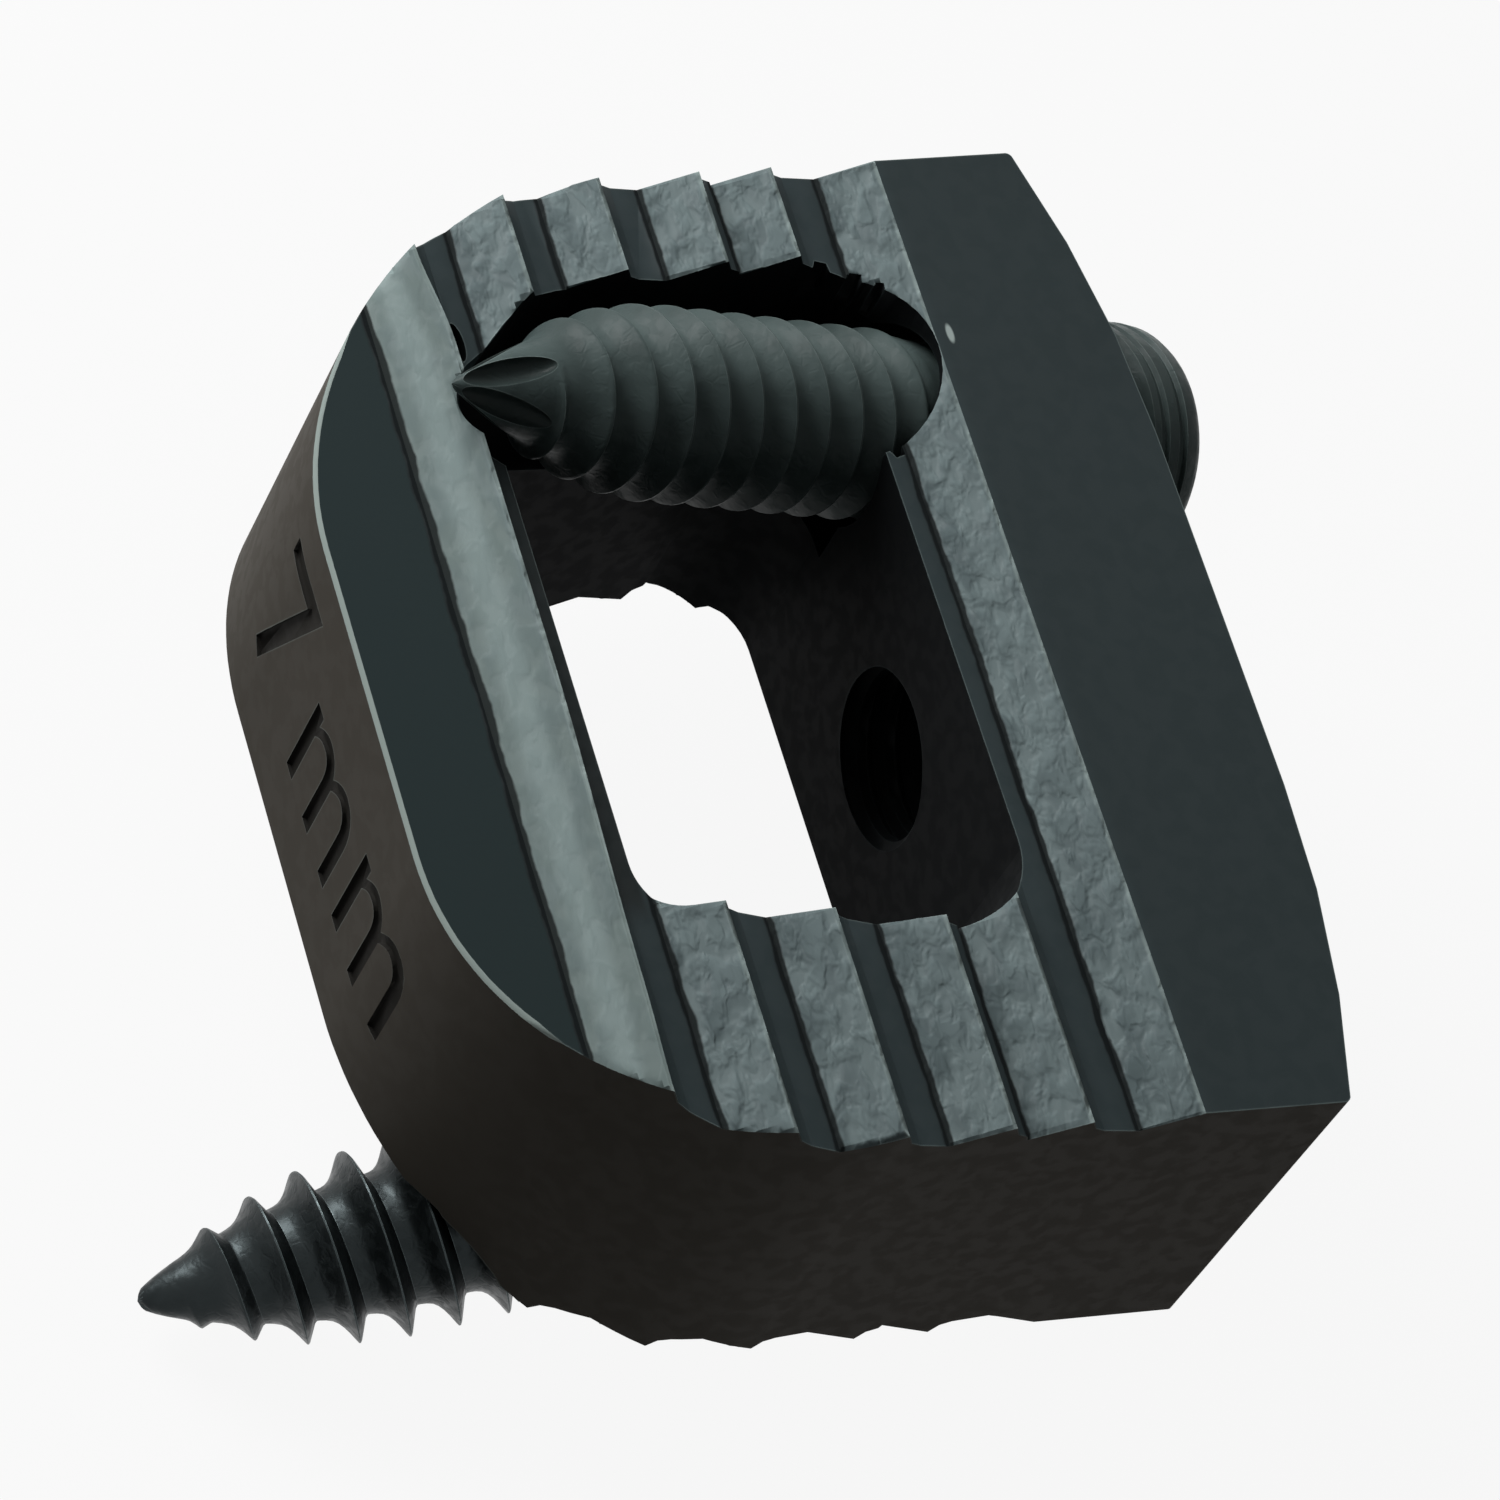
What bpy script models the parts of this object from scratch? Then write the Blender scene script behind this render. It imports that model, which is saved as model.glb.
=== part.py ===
"""Stand-alone interbody cage for the neck, with the two bone screws that fix it.

The cage is a D-shaped ring with ridged upper and lower faces. Its thick front wall
carries a threaded socket for the inserter and two slanted bores, one for a screw that
rises into the bone above and one for a screw that falls into the bone below.

The origin is the middle of the front face, half way between the crests above and below.
-Y is the front of the spine, +Y the back, +Z up and +X the patient's left.
All sizes below are in millimetres and degrees.
"""

import math

import bmesh
import bpy
from mathutils import Matrix, Vector

MM = 0.001

# The ring, seen from above
CAGE_HEIGHT = 7.0
CAGE_WIDTH = 17.6
BACK_WIDTH = 17.2
CAGE_DEPTH = 14.1
FRONT_FLAT_WIDTH = 6.6
FRONT_BOW = 0.82
FRONT_CORNER_RADIUS = 0.12
BACK_CORNER_RADIUS = 5.9

# The graft window
FRONT_WALL = 4.65
BACK_WALL = 3.0
WINDOW_FRONT_WIDTH = 10.6
WINDOW_BACK_WIDTH = 8.5
WINDOW_FRONT_CORNER_RADIUS = 1.4
WINDOW_BACK_CORNER_RADIUS = 0.9

# The ridges across the upper and lower faces, and the nose behind them
FRONT_BAND = 3.3
RIDGE_PITCHES = (1.87, 1.28, 1.76, 1.72, 1.73)
RIDGE_DEPTH = 0.42
RIDGE_FLANK = 0.95
RIDGE_STEEP_SIDE = 0.30
RIDGE_FLOOR_RISE = 0.10
BACK_FACE_HEIGHT = 4.9

# The inserter socket. Its axis also halves the distance between the two screws' entries.
SOCKET_OFFSET = -0.25
SOCKET_DIAMETER = 2.8
SOCKET_MOUTH_CHAMFER = 0.25

# The screws
SCREW_DIAMETER = 3.1
HEAD_DIAMETER = 4.2
ENTRY_SPREAD = 5.2
HEAD_HEIGHT = 1.25
HEAD_EDGE_RADIUS = 0.45
NECK_CONE = 0.5
NECK_RELIEF = 0.12
NECK_LENGTH = 3.4
TIP_FULLNESS = 0.8
DRIVE_WIDTH = 1.8
DRIVE_DEPTH = 0.9

CRANIAL_SCREW_LENGTH = 14.0
CRANIAL_STAND_OFF = 1.45
CRANIAL_TOE = -2.2
CRANIAL_TIP_LENGTH = 3.0
CRANIAL_NOSE_LENGTH = 3.2
CRANIAL_NOSE_FULLNESS = 0.66
CRANIAL_THREAD_PITCH = 0.68
CRANIAL_THREAD_DEPTH = 0.40
CRANIAL_THREAD_SHIFT = 0.45

CAUDAL_SCREW_LENGTH = 18.0
CAUDAL_STAND_OFF = 0.3
CAUDAL_TOE = -0.9
CAUDAL_TIP_LENGTH = 4.0
CAUDAL_NOSE_LENGTH = 3.4
CAUDAL_NOSE_FULLNESS = 0.8
CAUDAL_THREAD_PITCH = 0.785
CAUDAL_THREAD_DEPTH = 0.46
CAUDAL_THREAD_SHIFT = 0.1

# The thread's saw-tooth: how far along one pitch, and how far up from the root
THREAD_TOOTH = ((0.0, 0.0), (0.16, 1.0), (0.62, 0.14))
THREAD_RUN_OUT = 1.0
THREAD_FIRST_RISE = 0.6
THREAD_FULL_RISE = 0.95

# The bores and pockets that the screws run in
SCREW_RISE = 16.0
ENTRY_HEIGHT = 0.63
BORE_CLEARANCE = 0.12
HEAD_CLEARANCE = 0.15
SEAT_DEPTH = 1.05
POCKET_START = 3.3
POCKET_START_RADIUS = 1.8
POCKET_START_OUTSET = 0.4
POCKET_SIDE_CLEARANCE = 0.65
POCKET_FLOOR_CLEARANCE = 0.35
POCKET_TIP_RADIUS = 0.65
POCKET_TIP_SETBACK = 0.25
POCKET_WIDEST = 8.8
POCKET_END_LIMIT = 12.4

# Fineness of the round shapes, and how far a cutter reaches past what it cuts
ARC_STEP = 7.5
TURNED_SIDES = 40
SCREW_SIDES = 30
OVERCUT = 2.0

TITANIUM = (0.055, 0.068, 0.072, 1.0)
SCREW_TITANIUM = (0.085, 0.098, 0.100, 1.0)


def clear_scene():
    """Remove every object that the scene starts with."""
    for obj in list(bpy.data.objects):
        bpy.data.objects.remove(obj)


def make_material(name, colour, roughness):
    """Return a dark blasted metal."""
    material = bpy.data.materials.new(name)
    material.use_nodes = True
    shader = material.node_tree.nodes["Principled BSDF"]
    shader.inputs["Base Color"].default_value = colour
    shader.inputs["Metallic"].default_value = 0.6
    shader.inputs["Roughness"].default_value = roughness
    material.diffuse_color = colour
    return material


def new_object(name, mesh):
    """Link a new object that holds the mesh."""
    obj = bpy.data.objects.new(name, mesh)
    bpy.context.scene.collection.objects.link(obj)
    return obj


def hide_as_cutter(obj):
    """Mark an object as a tool that only cuts others."""
    obj.hide_render = True
    obj.display_type = "WIRE"


def boolean(target, tool, operation):
    """Add an exact Boolean of the tool to the target."""
    modifier = target.modifiers.new(tool.name, "BOOLEAN")
    modifier.operation = operation
    modifier.solver = "EXACT"
    modifier.object = tool
    hide_as_cutter(tool)


def arc(centre, radius, start, end):
    """Return points on an arc, both ends included, with angles in degrees."""
    steps = max(2, math.ceil(abs(end - start) / ARC_STEP))
    points = []
    for step in range(steps + 1):
        angle = math.radians(start + (end - start) * step / steps)
        points.append(Vector((
            centre[0] + radius * math.cos(angle),
            centre[1] + radius * math.sin(angle),
        )))
    return points


def round_corner(before, corner, after, radius):
    """Return the arc that rounds one corner of an outline."""
    before, corner, after = Vector(before), Vector(corner), Vector(after)
    towards_before = (before - corner).normalized()
    towards_after = (after - corner).normalized()
    half_angle = towards_before.angle(towards_after) / 2.0
    setback = radius / math.tan(half_angle)
    bisector = (towards_before + towards_after).normalized()
    centre = corner + bisector * radius / math.sin(half_angle)
    first = corner + towards_before * setback - centre
    last = corner + towards_after * setback - centre
    start = math.degrees(math.atan2(first.y, first.x))
    sweep = math.degrees(math.atan2(last.y, last.x)) - start
    sweep = (sweep + 180.0) % 360.0 - 180.0
    return arc(centre, radius, start, start + sweep)


def prism(name, outline, axis, low, high):
    """Extrude a flat outline along X ("X") or along Z ("Z") into a closed solid."""
    mesh = bpy.data.meshes.new(name)
    shape = bmesh.new()
    if axis == "X":
        ring = [shape.verts.new(Vector((low, p[0], p[1])) * MM) for p in outline]
        travel = Vector((high - low, 0.0, 0.0)) * MM
    else:
        ring = [shape.verts.new(Vector((p[0], p[1], low)) * MM) for p in outline]
        travel = Vector((0.0, 0.0, high - low)) * MM
    face = shape.faces.new(ring)
    extruded = bmesh.ops.extrude_face_region(shape, geom=[face])
    moved = [item for item in extruded["geom"] if isinstance(item, bmesh.types.BMVert)]
    bmesh.ops.translate(shape, verts=moved, vec=travel)
    bmesh.ops.recalc_face_normals(shape, faces=shape.faces)
    shape.to_mesh(mesh)
    shape.free()
    return new_object(name, mesh)


def turned(name, profile):
    """Spin a profile of (radius, height) points, both ends on the axis, about Z."""
    mesh = bpy.data.meshes.new(name)
    shape = bmesh.new()
    chain = [shape.verts.new(Vector((radius, 0.0, height)) * MM) for radius, height in profile]
    edges = [shape.edges.new(pair) for pair in zip(chain, chain[1:])]
    bmesh.ops.spin(
        shape,
        geom=chain + edges,
        cent=(0.0, 0.0, 0.0),
        axis=(0.0, 0.0, 1.0),
        angle=2.0 * math.pi,
        steps=TURNED_SIDES,
        use_merge=True,
    )
    bmesh.ops.remove_doubles(shape, verts=shape.verts, dist=0.00001 * MM)
    bmesh.ops.recalc_face_normals(shape, faces=shape.faces)
    shape.to_mesh(mesh)
    shape.free()
    return new_object(name, mesh)


def shade_round(obj):
    """Shade the curved faces smooth and keep the machined edges sharp."""
    obj.data.shade_smooth()
    obj.data.set_sharp_from_angle(angle=math.radians(35.0))


def mirror_outline(right_half):
    """Complete an outline from its +X half, listed from the front to the back."""
    left_half = [Vector((-point.x, point.y)) for point in reversed(right_half)]
    return right_half + left_half


def ring_outline():
    """Return the D shape of the ring, seen from above."""
    half_width = CAGE_WIDTH / 2.0
    half_back = BACK_WIDTH / 2.0
    half_flat = FRONT_FLAT_WIDTH / 2.0
    shoulder_run = half_width - half_flat
    shoulder_radius = (shoulder_run ** 2 + FRONT_BOW ** 2) / (2.0 * FRONT_BOW)
    turn = math.degrees(math.asin(shoulder_run / shoulder_radius))
    shoulder = arc((half_flat, shoulder_radius), shoulder_radius, -90.0, turn - 90.0)
    corner = round_corner(
        shoulder[-2],
        (half_width, FRONT_BOW),
        (half_back, CAGE_DEPTH - BACK_CORNER_RADIUS),
        FRONT_CORNER_RADIUS,
    )
    back_corner = arc(
        (half_back - BACK_CORNER_RADIUS, CAGE_DEPTH - BACK_CORNER_RADIUS),
        BACK_CORNER_RADIUS,
        0.0,
        90.0,
    )
    return mirror_outline(shoulder[:-1] + corner + back_corner)


def window_outline():
    """Return the graft window, a trapezium with round corners."""
    front = (WINDOW_FRONT_WIDTH / 2.0, FRONT_WALL)
    back = (WINDOW_BACK_WIDTH / 2.0, CAGE_DEPTH - BACK_WALL)
    front_corner = round_corner((0.0, front[1]), front, back, WINDOW_FRONT_CORNER_RADIUS)
    back_corner = round_corner(front, back, (0.0, back[1]), WINDOW_BACK_CORNER_RADIUS)
    return mirror_outline(front_corner + back_corner)


def ridge_crests():
    """Return how far each ridge's crest lies behind the front face."""
    crests = [FRONT_BAND]
    for pitch in RIDGE_PITCHES:
        crests.append(crests[-1] + pitch)
    return crests


def ridged_face():
    """Return the upper face's profile in the YZ plane, from front to back.

    The front band is flat up to the first crest. Behind each crest a long flank falls
    to the root, a floor runs on, and a short hollow side climbs to the next crest.
    """
    top = CAGE_HEIGHT / 2.0
    root = top - RIDGE_DEPTH
    crests = ridge_crests()
    points = [(-OVERCUT, top)]
    for crest, following in zip(crests, crests[1:]):
        steep_foot = following - RIDGE_STEEP_SIDE
        points.append((crest, top))
        points.append((crest + RIDGE_FLANK, root))
        points.append((steep_foot, root + RIDGE_FLOOR_RISE))
        climb = top - root - RIDGE_FLOOR_RISE
        points.append((steep_foot + 0.6 * RIDGE_STEEP_SIDE, root + RIDGE_FLOOR_RISE + 0.3 * climb))
    points.append((crests[-1], top))
    nose_start = crests[-1] + RIDGE_FLANK
    points.append((nose_start, root))
    slope = (root - BACK_FACE_HEIGHT / 2.0) / (CAGE_DEPTH - nose_start)
    points.append((CAGE_DEPTH + OVERCUT, BACK_FACE_HEIGHT / 2.0 - slope * OVERCUT))
    return points


def side_profile():
    """Return the whole ridged profile, the lower face mirroring the upper one."""
    upper = ridged_face()
    lower = [(y, -z) for y, z in reversed(upper)]
    return upper + lower


class Screw:
    """One bone screw: its size, and where its axis runs.

    direction is +1 for the screw that rises and -1 for the one that falls.
    """

    def __init__(self, name, length, stand_off, toe, direction, thread, taper):
        self.name = name
        self.length = length
        self.thread_pitch, self.thread_depth, self.thread_shift = thread
        self.tip_length, self.nose_length, self.nose_fullness = taper
        self.radius = SCREW_DIAMETER / 2.0
        self.stand_off = stand_off
        self.direction = direction
        rise = math.radians(SCREW_RISE) * direction
        toe = math.radians(toe)
        self.entry = Vector((
            SOCKET_OFFSET + ENTRY_SPREAD * direction,
            0.0,
            ENTRY_HEIGHT * direction,
        ))
        self.axis = Vector((
            math.sin(toe) * math.cos(rise),
            math.cos(toe) * math.cos(rise),
            math.sin(rise),
        ))

    def point(self, depth):
        """Return the point on the axis at a depth behind the entry."""
        return self.entry + self.axis * depth

    def depth_at(self, y):
        """Return the depth at which the axis passes a distance behind the front face."""
        return y / self.axis.y

    def tip(self):
        return self.point(self.length - self.stand_off)

    def place(self, obj):
        """Turn an object made about Z onto the screw's axis."""
        turn = self.axis.to_track_quat("Z", "Y").to_matrix().to_4x4()
        obj.matrix_world = Matrix.Translation(self.entry * MM) @ turn


def swell(radius, run, below_tip, fullness):
    """Return the radius of a rounded taper at a distance behind its tip."""
    share = min(1.0, max(0.0, below_tip / run))
    return radius * (1.0 - (1.0 - share) ** 2) ** fullness


def tip_profile(screw, growth):
    """Return the taper of the thread's crests down to the tip, grown for a cutter."""
    tip_height = screw.length - screw.stand_off
    points = []
    for share in (1.0, 0.8, 0.62, 0.46, 0.32, 0.2, 0.1, 0.03):
        below_tip = screw.tip_length * share
        radius = swell(screw.radius, screw.tip_length, below_tip, TIP_FULLNESS)
        points.append((radius + growth, tip_height - below_tip))
    points.append((0.0, tip_height + growth))
    return points


def head_profile(screw):
    """Return the turned head and neck, from the end of the head to the thread."""
    head_end = -screw.stand_off
    head_radius = HEAD_DIAMETER / 2.0
    neck_radius = screw.radius - NECK_RELIEF
    neck_top = head_end + HEAD_HEIGHT + NECK_CONE
    rounding = arc(
        (head_radius - HEAD_EDGE_RADIUS, head_end + HEAD_EDGE_RADIUS),
        HEAD_EDGE_RADIUS,
        -90.0,
        0.0,
    )
    profile = [(0.0, head_end)]
    profile += [(point.x, point.y) for point in rounding[::3]]
    profile.append((head_radius, head_end + HEAD_HEIGHT))
    profile.append((neck_radius, neck_top))
    profile.append((neck_radius, neck_top + NECK_LENGTH))
    return profile


def ease(value, low, high):
    """Return 0 below low, 1 above high and a smooth curve between them."""
    share = min(1.0, max(0.0, (value - low) / (high - low)))
    return share * share * (3.0 - 2.0 * share)


def thread_radius(screw, height, lift):
    """Return the threaded shank's radius at a height, for a lift from root to crest."""
    start = -screw.stand_off + HEAD_HEIGHT + NECK_CONE + NECK_LENGTH
    below_tip = screw.length - screw.stand_off - height
    outer = swell(screw.radius, screw.tip_length, below_tip, TIP_FULLNESS)
    core_radius = screw.radius - screw.thread_depth
    core = swell(core_radius, screw.nose_length, below_tip, screw.nose_fullness)
    crest = outer - NECK_RELIEF * (1.0 - ease(height, start, start + THREAD_RUN_OUT / 2.0))
    root = crest - (crest - min(core, crest)) * ease(height, start, start + THREAD_RUN_OUT)
    return root + (crest - root) * lift * ease(below_tip, THREAD_FIRST_RISE, THREAD_FULL_RISE)


def thread_column(screw, turned_share):
    """Return the (radius, height) points along one side of the threaded shank.

    The points climb with the angle, so that a column lies one pitch higher after a
    whole turn. Those past the neck or the tip are drawn back to it.
    """
    start = -screw.stand_off + HEAD_HEIGHT + NECK_CONE + NECK_LENGTH
    tip = screw.length - screw.stand_off
    pitch = screw.thread_pitch
    smallest = 0.12 * pitch
    points = []
    for turn in range(-3, math.ceil((tip - start) / pitch) + 3):
        for share, lift in THREAD_TOOTH:
            height = start + pitch * (turn + share + turned_share + screw.thread_shift)
            if height < start + smallest:
                points.append((screw.radius - NECK_RELIEF, start))
            elif height > tip - smallest:
                points.append((0.0, tip))
            else:
                points.append((thread_radius(screw, height, lift), height))
    return points


def threaded_screw(screw):
    """Make a screw as one closed sheet of columns, wrapped once round its axis."""
    mesh = bpy.data.meshes.new(screw.name)
    shape = bmesh.new()
    columns = []
    for side in range(SCREW_SIDES + 1):
        angle = 2.0 * math.pi * side / SCREW_SIDES
        points = head_profile(screw) + thread_column(screw, side / SCREW_SIDES)
        columns.append([
            shape.verts.new(Vector((
                radius * math.cos(angle),
                radius * math.sin(angle),
                height,
            )) * MM)
            for radius, height in points
        ])
    for left, right in zip(columns, columns[1:]):
        for row in range(len(left) - 1):
            shape.faces.new((left[row], right[row], right[row + 1], left[row + 1]))
    bmesh.ops.remove_doubles(shape, verts=shape.verts, dist=0.0001 * MM)
    bmesh.ops.dissolve_degenerate(shape, edges=shape.edges, dist=0.0001 * MM)
    bmesh.ops.triangulate(shape, faces=shape.faces)
    bmesh.ops.recalc_face_normals(shape, faces=shape.faces)
    shape.to_mesh(mesh)
    shape.free()
    return new_object(screw.name, mesh)


def bore_profile(screw):
    """Return the room that a screw needs: its seat, its bore and its tip's cone."""
    bore_radius = screw.radius + BORE_CLEARANCE
    seat_radius = HEAD_DIAMETER / 2.0 + HEAD_CLEARANCE
    profile = [
        (0.0, -screw.stand_off - OVERCUT),
        (seat_radius, -screw.stand_off - OVERCUT),
        (seat_radius, SEAT_DEPTH),
        (bore_radius, SEAT_DEPTH + NECK_CONE),
    ]
    profile += tip_profile(screw, BORE_CLEARANCE)
    return profile


def make_screw(screw, material):
    """Make one screw and cut the hexagonal drive into its head."""
    body = threaded_screw(screw)
    screw.place(body)
    body.data.materials.append(material)
    shade_round(body)
    corners = [
        Vector((
            DRIVE_WIDTH / math.sqrt(3.0) * math.cos(math.radians(60.0 * side)),
            DRIVE_WIDTH / math.sqrt(3.0) * math.sin(math.radians(60.0 * side)),
        ))
        for side in range(6)
    ]
    head_end = -screw.stand_off
    drive = prism(screw.name + "_drive", corners, "Z", head_end - OVERCUT, head_end + DRIVE_DEPTH)
    screw.place(drive)
    boolean(body, drive, "DIFFERENCE")
    return body


def hull_of_circles(circles):
    """Return the outline that wraps a row of circles (x, y, radius)."""
    points = []
    for x, y, radius in circles:
        points += arc((x, y), radius, 0.0, 360.0)
    points.sort(key=lambda p: (round(p.x, 6), round(p.y, 6)))
    lower = []
    upper = []
    for half, ordered in ((lower, points), (upper, points[::-1])):
        for point in ordered:
            while len(half) > 1:
                edge = half[-1] - half[-2]
                step = point - half[-1]
                if edge.x * step.y - edge.y * step.x > 0.0001:
                    break
                half.pop()
            half.append(point)
    return lower[:-1] + upper[:-1]


def pocket_outline(screw):
    """Return the screw's pocket from above: round at the wall, wide, then pointed."""
    tip_end = min(screw.tip().y - POCKET_TIP_SETBACK, POCKET_END_LIMIT)
    start_y = POCKET_START + POCKET_START_RADIUS
    tip_y = tip_end - POCKET_TIP_RADIUS
    circles = []
    for y, radius, outset in (
        (start_y, POCKET_START_RADIUS, POCKET_START_OUTSET),
        (POCKET_WIDEST, screw.radius + POCKET_SIDE_CLEARANCE, 0.0),
        (tip_y, POCKET_TIP_RADIUS, 0.0),
    ):
        middle = screw.point(screw.depth_at(y)).x + outset * screw.direction
        circles.append((middle, y, radius))
    return hull_of_circles(circles)


def make_pocket(screw):
    """Make the pocket's cutter: straight sides and a floor that follows the screw."""
    name = screw.name + "_pocket"
    outside = (CAGE_HEIGHT / 2.0 + OVERCUT) * screw.direction
    cutter = prism(name, pocket_outline(screw), "Z", 0.0, outside)
    below_axis = (screw.radius + POCKET_FLOOR_CLEARANCE) * screw.direction
    for vertex in cutter.data.vertices:
        if abs(vertex.co.z) < 0.000001 * MM:
            axis_height = screw.point(screw.depth_at(vertex.co.y / MM)).z
            vertex.co.z = (axis_height - below_axis) * MM
    return cutter


def make_socket():
    """Make the cutter for the inserter's threaded socket, along Y through the front wall."""
    radius = SOCKET_DIAMETER / 2.0
    profile = [
        (0.0, -OVERCUT),
        (radius + SOCKET_MOUTH_CHAMFER, -OVERCUT),
        (radius + SOCKET_MOUTH_CHAMFER, 0.0),
        (radius, SOCKET_MOUTH_CHAMFER),
        (radius, FRONT_WALL + OVERCUT),
        (0.0, FRONT_WALL + OVERCUT),
    ]
    cutter = turned("inserter_socket_cutter", profile)
    turn = Matrix.Rotation(math.radians(-90.0), 4, "X")
    cutter.matrix_world = Matrix.Translation((SOCKET_OFFSET * MM, 0.0, 0.0)) @ turn
    return cutter


def make_cage(screws, material):
    """Cut the ring from its ridged profile, then its window, pockets, bores and socket."""
    reach = CAGE_WIDTH / 2.0 + OVERCUT
    tall = CAGE_HEIGHT / 2.0 + OVERCUT
    cage = prism("cage_body", side_profile(), "X", -reach, reach)
    cage.data.materials.append(material)
    boolean(cage, prism("ring_outline", ring_outline(), "Z", -tall, tall), "INTERSECT")
    boolean(cage, prism("graft_window", window_outline(), "Z", -tall, tall), "DIFFERENCE")
    for screw in screws:
        boolean(cage, make_pocket(screw), "DIFFERENCE")
        bore = turned(screw.name + "_bore", bore_profile(screw))
        screw.place(bore)
        boolean(cage, bore, "DIFFERENCE")
    boolean(cage, make_socket(), "DIFFERENCE")
    return cage


def main():
    clear_scene()
    cage_metal = make_material("cage_titanium", TITANIUM, 0.55)
    screw_metal = make_material("screw_titanium", SCREW_TITANIUM, 0.45)
    cranial = Screw(
        "cranial_screw",
        CRANIAL_SCREW_LENGTH,
        CRANIAL_STAND_OFF,
        CRANIAL_TOE,
        1,
        (CRANIAL_THREAD_PITCH, CRANIAL_THREAD_DEPTH, CRANIAL_THREAD_SHIFT),
        (CRANIAL_TIP_LENGTH, CRANIAL_NOSE_LENGTH, CRANIAL_NOSE_FULLNESS),
    )
    caudal = Screw(
        "caudal_screw",
        CAUDAL_SCREW_LENGTH,
        CAUDAL_STAND_OFF,
        CAUDAL_TOE,
        -1,
        (CAUDAL_THREAD_PITCH, CAUDAL_THREAD_DEPTH, CAUDAL_THREAD_SHIFT),
        (CAUDAL_TIP_LENGTH, CAUDAL_NOSE_LENGTH, CAUDAL_NOSE_FULLNESS),
    )
    for screw in (cranial, caudal):
        make_screw(screw, screw_metal)
    make_cage((cranial, caudal), cage_metal)


main()
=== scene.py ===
# %% [markdown]
# # A stand-alone cage for the neck, with its two bone screws
#
# The real object is a small titanium ring that a surgeon sets between two vertebrae.
# Its upper and lower faces carry ridges that bite into the bone, its window is packed
# with bone graft, and two screws run through its thick front wall, one up and one down.
#
# The solids come from the CAD model. This lesson dresses them: it cuts real threads on
# the screws, roughens the ridges, cuts the size mark and gives every surface its metal.

import math

import bmesh
import bpy
from mathutils import Euler, Matrix, Vector, noise


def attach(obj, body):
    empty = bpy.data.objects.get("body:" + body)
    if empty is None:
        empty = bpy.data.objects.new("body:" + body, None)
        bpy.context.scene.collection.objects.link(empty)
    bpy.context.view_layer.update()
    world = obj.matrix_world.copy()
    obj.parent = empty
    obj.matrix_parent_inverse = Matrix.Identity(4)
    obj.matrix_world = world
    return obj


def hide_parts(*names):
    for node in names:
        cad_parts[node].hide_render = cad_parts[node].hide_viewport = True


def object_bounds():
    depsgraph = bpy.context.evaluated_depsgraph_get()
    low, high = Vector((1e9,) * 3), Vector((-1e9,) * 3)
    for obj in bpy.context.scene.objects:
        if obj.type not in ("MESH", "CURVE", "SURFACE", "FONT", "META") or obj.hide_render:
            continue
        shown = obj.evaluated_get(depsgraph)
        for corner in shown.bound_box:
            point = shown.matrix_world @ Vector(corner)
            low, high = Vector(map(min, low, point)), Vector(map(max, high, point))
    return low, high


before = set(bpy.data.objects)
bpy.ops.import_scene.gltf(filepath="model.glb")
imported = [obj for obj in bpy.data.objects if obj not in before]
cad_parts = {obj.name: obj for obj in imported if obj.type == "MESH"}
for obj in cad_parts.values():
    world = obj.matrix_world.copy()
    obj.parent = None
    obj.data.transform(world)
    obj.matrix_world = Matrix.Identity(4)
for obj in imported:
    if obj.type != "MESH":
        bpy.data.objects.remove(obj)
cad_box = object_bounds()
MM = 0.001
print("solids:", sorted(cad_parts))

# %% [markdown]
# ## The camera
#
# The photograph looks down on the back and the right side of the cage from about
# 100 mm away, so the lens is long and the near end is only a little larger. The camera
# is rolled, because whoever took the picture held the part at a slant.

# %% Place the camera
PHOTO_SIDE = 1500
CAMERA_PLACE = Vector((-44.2736, 49.5527, 79.2357)) * MM
CAMERA_TURN = (33.1154, -19.4067, -106.9319)
FOCAL_LENGTH_PIXELS = 6382.97
SENSOR_WIDTH = 36.0

camera_data = bpy.data.cameras.new("camera")
camera_data.sensor_width = SENSOR_WIDTH
camera_data.lens = FOCAL_LENGTH_PIXELS * SENSOR_WIDTH / PHOTO_SIDE
camera_data.clip_start = 0.005
camera_data.clip_end = 10.0
camera = bpy.data.objects.new("camera", camera_data)
bpy.context.scene.collection.objects.link(camera)
camera.location = CAMERA_PLACE
camera.rotation_euler = Euler([math.radians(angle) for angle in CAMERA_TURN], "XYZ")
bpy.context.scene.camera = camera
print("lens:", round(camera_data.lens, 1), "mm")

# %% [markdown]
# ## Small helpers for modelling
#
# Every operator in Blender acts on what is selected, so each step starts from a clean
# selection. The helpers below do the few things that every piece needs.

# %% Modelling helpers
def deselect_all():
    """Leave edit mode and select nothing."""
    if bpy.context.object and bpy.context.object.mode != "OBJECT":
        bpy.ops.object.mode_set(mode="OBJECT")
    bpy.ops.object.select_all(action="DESELECT")


def make_active(piece):
    """Select one piece alone."""
    deselect_all()
    piece.select_set(True)
    bpy.context.view_layer.objects.active = piece


def apply_modifiers(piece):
    """Apply every modifier, from the top of the stack down."""
    make_active(piece)
    for modifier in list(piece.modifiers):
        bpy.ops.object.modifier_apply(modifier=modifier.name)


def cut(piece, cutter, leave_material=False):
    """Cut one piece with another, and delete the cutter."""
    modifier = piece.modifiers.new("cut", "BOOLEAN")
    modifier.operation = "DIFFERENCE"
    modifier.solver = "EXACT"
    if leave_material:
        modifier.material_mode = "TRANSFER"
    modifier.object = cutter
    apply_modifiers(piece)
    bpy.data.objects.remove(cutter)


def face_outwards(piece):
    """Turn every face of a closed piece outwards."""
    make_active(piece)
    bpy.ops.object.mode_set(mode="EDIT")
    bpy.ops.mesh.select_all(action="SELECT")
    bpy.ops.mesh.normals_make_consistent(inside=False)
    bpy.ops.object.mode_set(mode="OBJECT")


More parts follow.
